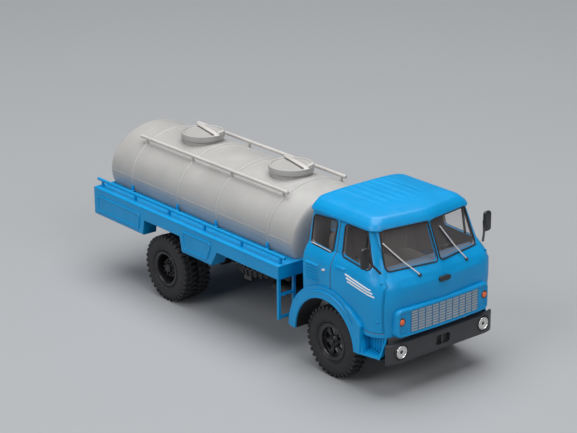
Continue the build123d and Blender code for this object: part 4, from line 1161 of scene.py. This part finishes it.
# Rails on the tank's shoulders and along the deck, each on its posts, and pegs at the bands
TANK_RAIL_X = (-124.6, -37.1)
TANK_RAIL_Y = 13.4
TANK_RAIL_Z = 53.3
TANK_POST_LOW_Z = 50.2
DECK_RAIL_X = (-137.4, -24.2)
DECK_RAIL_Y = 25.5
DECK_RAIL_Z = 35.6
DECK_POST_LOW_Z = 33.2
DECK_POSTS = 6
DECK_POST_X = -134.3
DECK_POST_PITCH = 21.5
PEG_Y = 20.7
PEG_TOP_Z = 36.3
PEG = [(3.2, 0.85), (2.4, 0.85), (2.2, 0.6), (0.5, 0.6), (0.15, 0.45), (0.0, 0.2)]
for side, side_name in SIDES:
    # The tank rails and their posts are painted lighter than the tank: painted light
    rail = [at(x, side * TANK_RAIL_Y, TANK_RAIL_Z) for x in TANK_RAIL_X]
    flat_bar(f"tank_rail_{side_name}", rail, 1.15, 1.25, "tank_grey", material=PAINTED_LIGHT_GREY,
             replaced=("tank_rails",))
    for post, post_x in enumerate(BANDS_X):
        upright = [at(post_x, side * TANK_RAIL_Y, z) for z in (TANK_POST_LOW_Z, TANK_RAIL_Z)]
        tube(f"tank_rail_post_{post}_{side_name}", upright, 0.55, "tank_grey", material=PAINTED_LIGHT_GREY)
    rail = [at(x, side * DECK_RAIL_Y, DECK_RAIL_Z) for x in DECK_RAIL_X]
    flat_bar(f"deck_rail_{side_name}", rail, 1.05, 1.1, "body_blue", replaced=("platform_rails",))
    for post in range(DECK_POSTS):
        post_x = DECK_POST_X + post * DECK_POST_PITCH
        upright = [at(post_x, side * DECK_RAIL_Y, z) for z in (DECK_POST_LOW_Z, DECK_RAIL_Z)]
        tube(f"deck_rail_post_{post}_{side_name}", upright, 0.6, "body_blue")
    for peg, peg_x in enumerate(BANDS_X):
        place = facing_up(at(peg_x, side * PEG_Y, PEG_TOP_Z))
        turned(f"tie_down_peg_{peg}_{side_name}", PEG, 20, place, "body_blue", (-1,),
               replaced=("tie_down_lugs",))

# Bumper: swept back at its ends, with a barred towing slot
BUMPER_FLAT_Y = 18.6
BUMPER_PLAN = [(BUMPER_X, 0.0), (BUMPER_X, BUMPER_FLAT_Y), (27.35, 20.6), (27.0, 22.3), (26.4, 23.6),
               (25.6, 24.4)]
BUMPER_SECTION = [(0.35, 12.3), (0.1, 12.4), (0.0, 12.7), (0.0, 19.0), (0.1, 19.3), (0.35, 19.4), (2.6, 19.4),
                  (2.6, 12.3)]
SLOT_OUTLINE = rounded_outline(rectangle(-3.2, 3.2, 14.2, 17.6), 1.0)
SLOT_FRONT_X = BUMPER_X + 1.0
SLOT_DEPTH = 2.5
SLOT_BAR_X = 26.9
SLOT_BAR_Z = (14.0, 17.8)
BRACKET_X = (20.9, 25.2)
BRACKET_Y = 8.0
BRACKET_Z = 16.5


def bumper_body_mesh():
    # Its section thins towards the swept ends
    path = [(x, -y) for x, y in reversed(BUMPER_PLAN)] + BUMPER_PLAN[1:]
    bm = bmesh.new()
    rows = []
    for i, (x, y) in enumerate(path):
        before = Vector(path[max(i - 1, 0)])
        after = Vector(path[min(i + 1, len(path) - 1)])
        run = (after - before).normalized()
        inward = Vector((-run.y, run.x))
        thin = 1.0 - 0.75 * max(0.0, (abs(y) - BUMPER_FLAT_Y) / 6.5)
        row = []
        for depth, z in BUMPER_SECTION:
            place = Vector((x, y)) + inward * depth * thin
            row.append(bm.verts.new(at(place.x, place.y, z)))
        rows.append(row)
    loft(bm, rows)
    return finished_mesh("bumper body", bm)


def cut_bumper_mesh():
    # The body less its slot
    slot = plate_mesh("slot", SLOT_OUTLINE, lambda u, v, h: at(SLOT_FRONT_X - h, u, v), SLOT_DEPTH, 0.1)
    body = bpy.data.objects.new("bumper body", bumper_body_mesh())
    cutter = bpy.data.objects.new("slot", slot)
    bpy.context.scene.collection.objects.link(body)
    bpy.context.scene.collection.objects.link(cutter)
    cut = body.modifiers.new("slot", "BOOLEAN")
    cut.object = cutter
    cut.operation = "DIFFERENCE"
    bpy.context.view_layer.update()
    evaluated = body.evaluated_get(bpy.context.evaluated_depsgraph_get())
    mesh = bpy.data.meshes.new_from_object(evaluated)
    bpy.data.objects.remove(body)
    bpy.data.objects.remove(cutter)
    mesh.shade_smooth()
    mesh.set_sharp_from_angle(angle=math.radians(25))
    return mesh


piece("bumper", cut_bumper_mesh(), "bumper_grey", replaced=("front_bumper",))
tube("bumper_slot_bar", [at(SLOT_BAR_X, 0, z) for z in SLOT_BAR_Z], 0.45, "bumper_grey")
for side, side_name in SIDES:
    bracket = [at(x, side * BRACKET_Y, BRACKET_Z) for x in BRACKET_X]
    flat_bar(f"bumper_bracket_{side_name}", bracket, 2.6, 4.6, "chassis_black")

# Floor, light and camera
floor_material = new_material("floor", (0.325, 0.335, 0.347), 0.55)
relief(floor_material, noise(floor_material, 200.0), 0.00001)
bm = bmesh.new()
bmesh.ops.create_grid(bm, x_segments=1, y_segments=1, size=3.0)
floor = bpy.data.objects.new("floor", finished_mesh("floor", bm))
floor.data.materials.append(floor_material)
bpy.context.scene.collection.objects.link(floor)


def soft_box(name, place, target, size, energy):
    data = bpy.data.lights.new(name, "AREA")
    data.shape = "DISK"
    data.size = size
    data.energy = energy
    light = bpy.data.objects.new(name, data)
    light.location = place
    light.rotation_euler = (Vector(target) - Vector(place)).to_track_quat("-Z", "Y").to_euler()
    bpy.context.scene.collection.objects.link(light)


soft_box("overhead", (-0.1, 0.1, 1.2), (0, 0, 0), 1.3, 18.6)
soft_box("front fill", (1.05, -0.1, 0.75), (0, 0, 0.03), 0.8, 5.0)
soft_box("side fill", (0.0, -1.05, 0.8), (0, 0, 0.03), 0.8, 7.2)

world = bpy.data.worlds.new("studio")
bpy.context.scene.world = world
world.use_nodes = True
set_inputs(world.node_tree.nodes["Background"], {"Color": (0.42, 0.43, 0.45, 1), "Strength": 0.22})

# The camera stands where the photo was taken; angles in degrees, distance in metres
AZIMUTH = 50.57
ELEVATION = 19.78
ROLL = -0.35
DISTANCE = 0.68535
TARGET = at(-55.0, 1.46, 36.25)
FOCAL_PIXELS = 1893.26
PHOTO_WIDTH = 577
azimuth, elevation, roll = (math.radians(angle) for angle in (AZIMUTH, ELEVATION, ROLL))
back = Vector((
    math.sin(azimuth) * math.cos(elevation),
    -math.cos(azimuth) * math.cos(elevation),
    math.sin(elevation),
))
right = Vector((math.cos(azimuth), math.sin(azimuth), 0.0))
up = back.cross(right)
right_rolled = right * math.cos(roll) + up * math.sin(roll)
up_rolled = up * math.cos(roll) - right * math.sin(roll)
camera_data = bpy.data.cameras.new("camera")
camera = bpy.data.objects.new("camera", camera_data)
bpy.context.scene.collection.objects.link(camera)
view_matrix = Matrix((right_rolled, up_rolled, back)).transposed().to_4x4()
view_matrix.translation = TARGET + back * DISTANCE
camera.matrix_world = view_matrix
camera_data.sensor_width = 36.0
camera_data.lens = camera_data.sensor_width * FOCAL_PIXELS / PHOTO_WIDTH
camera_data.clip_start = 0.01
camera_data.clip_end = 20.0
bpy.context.scene.camera = camera
bpy.context.scene.view_settings.view_transform = "Standard"
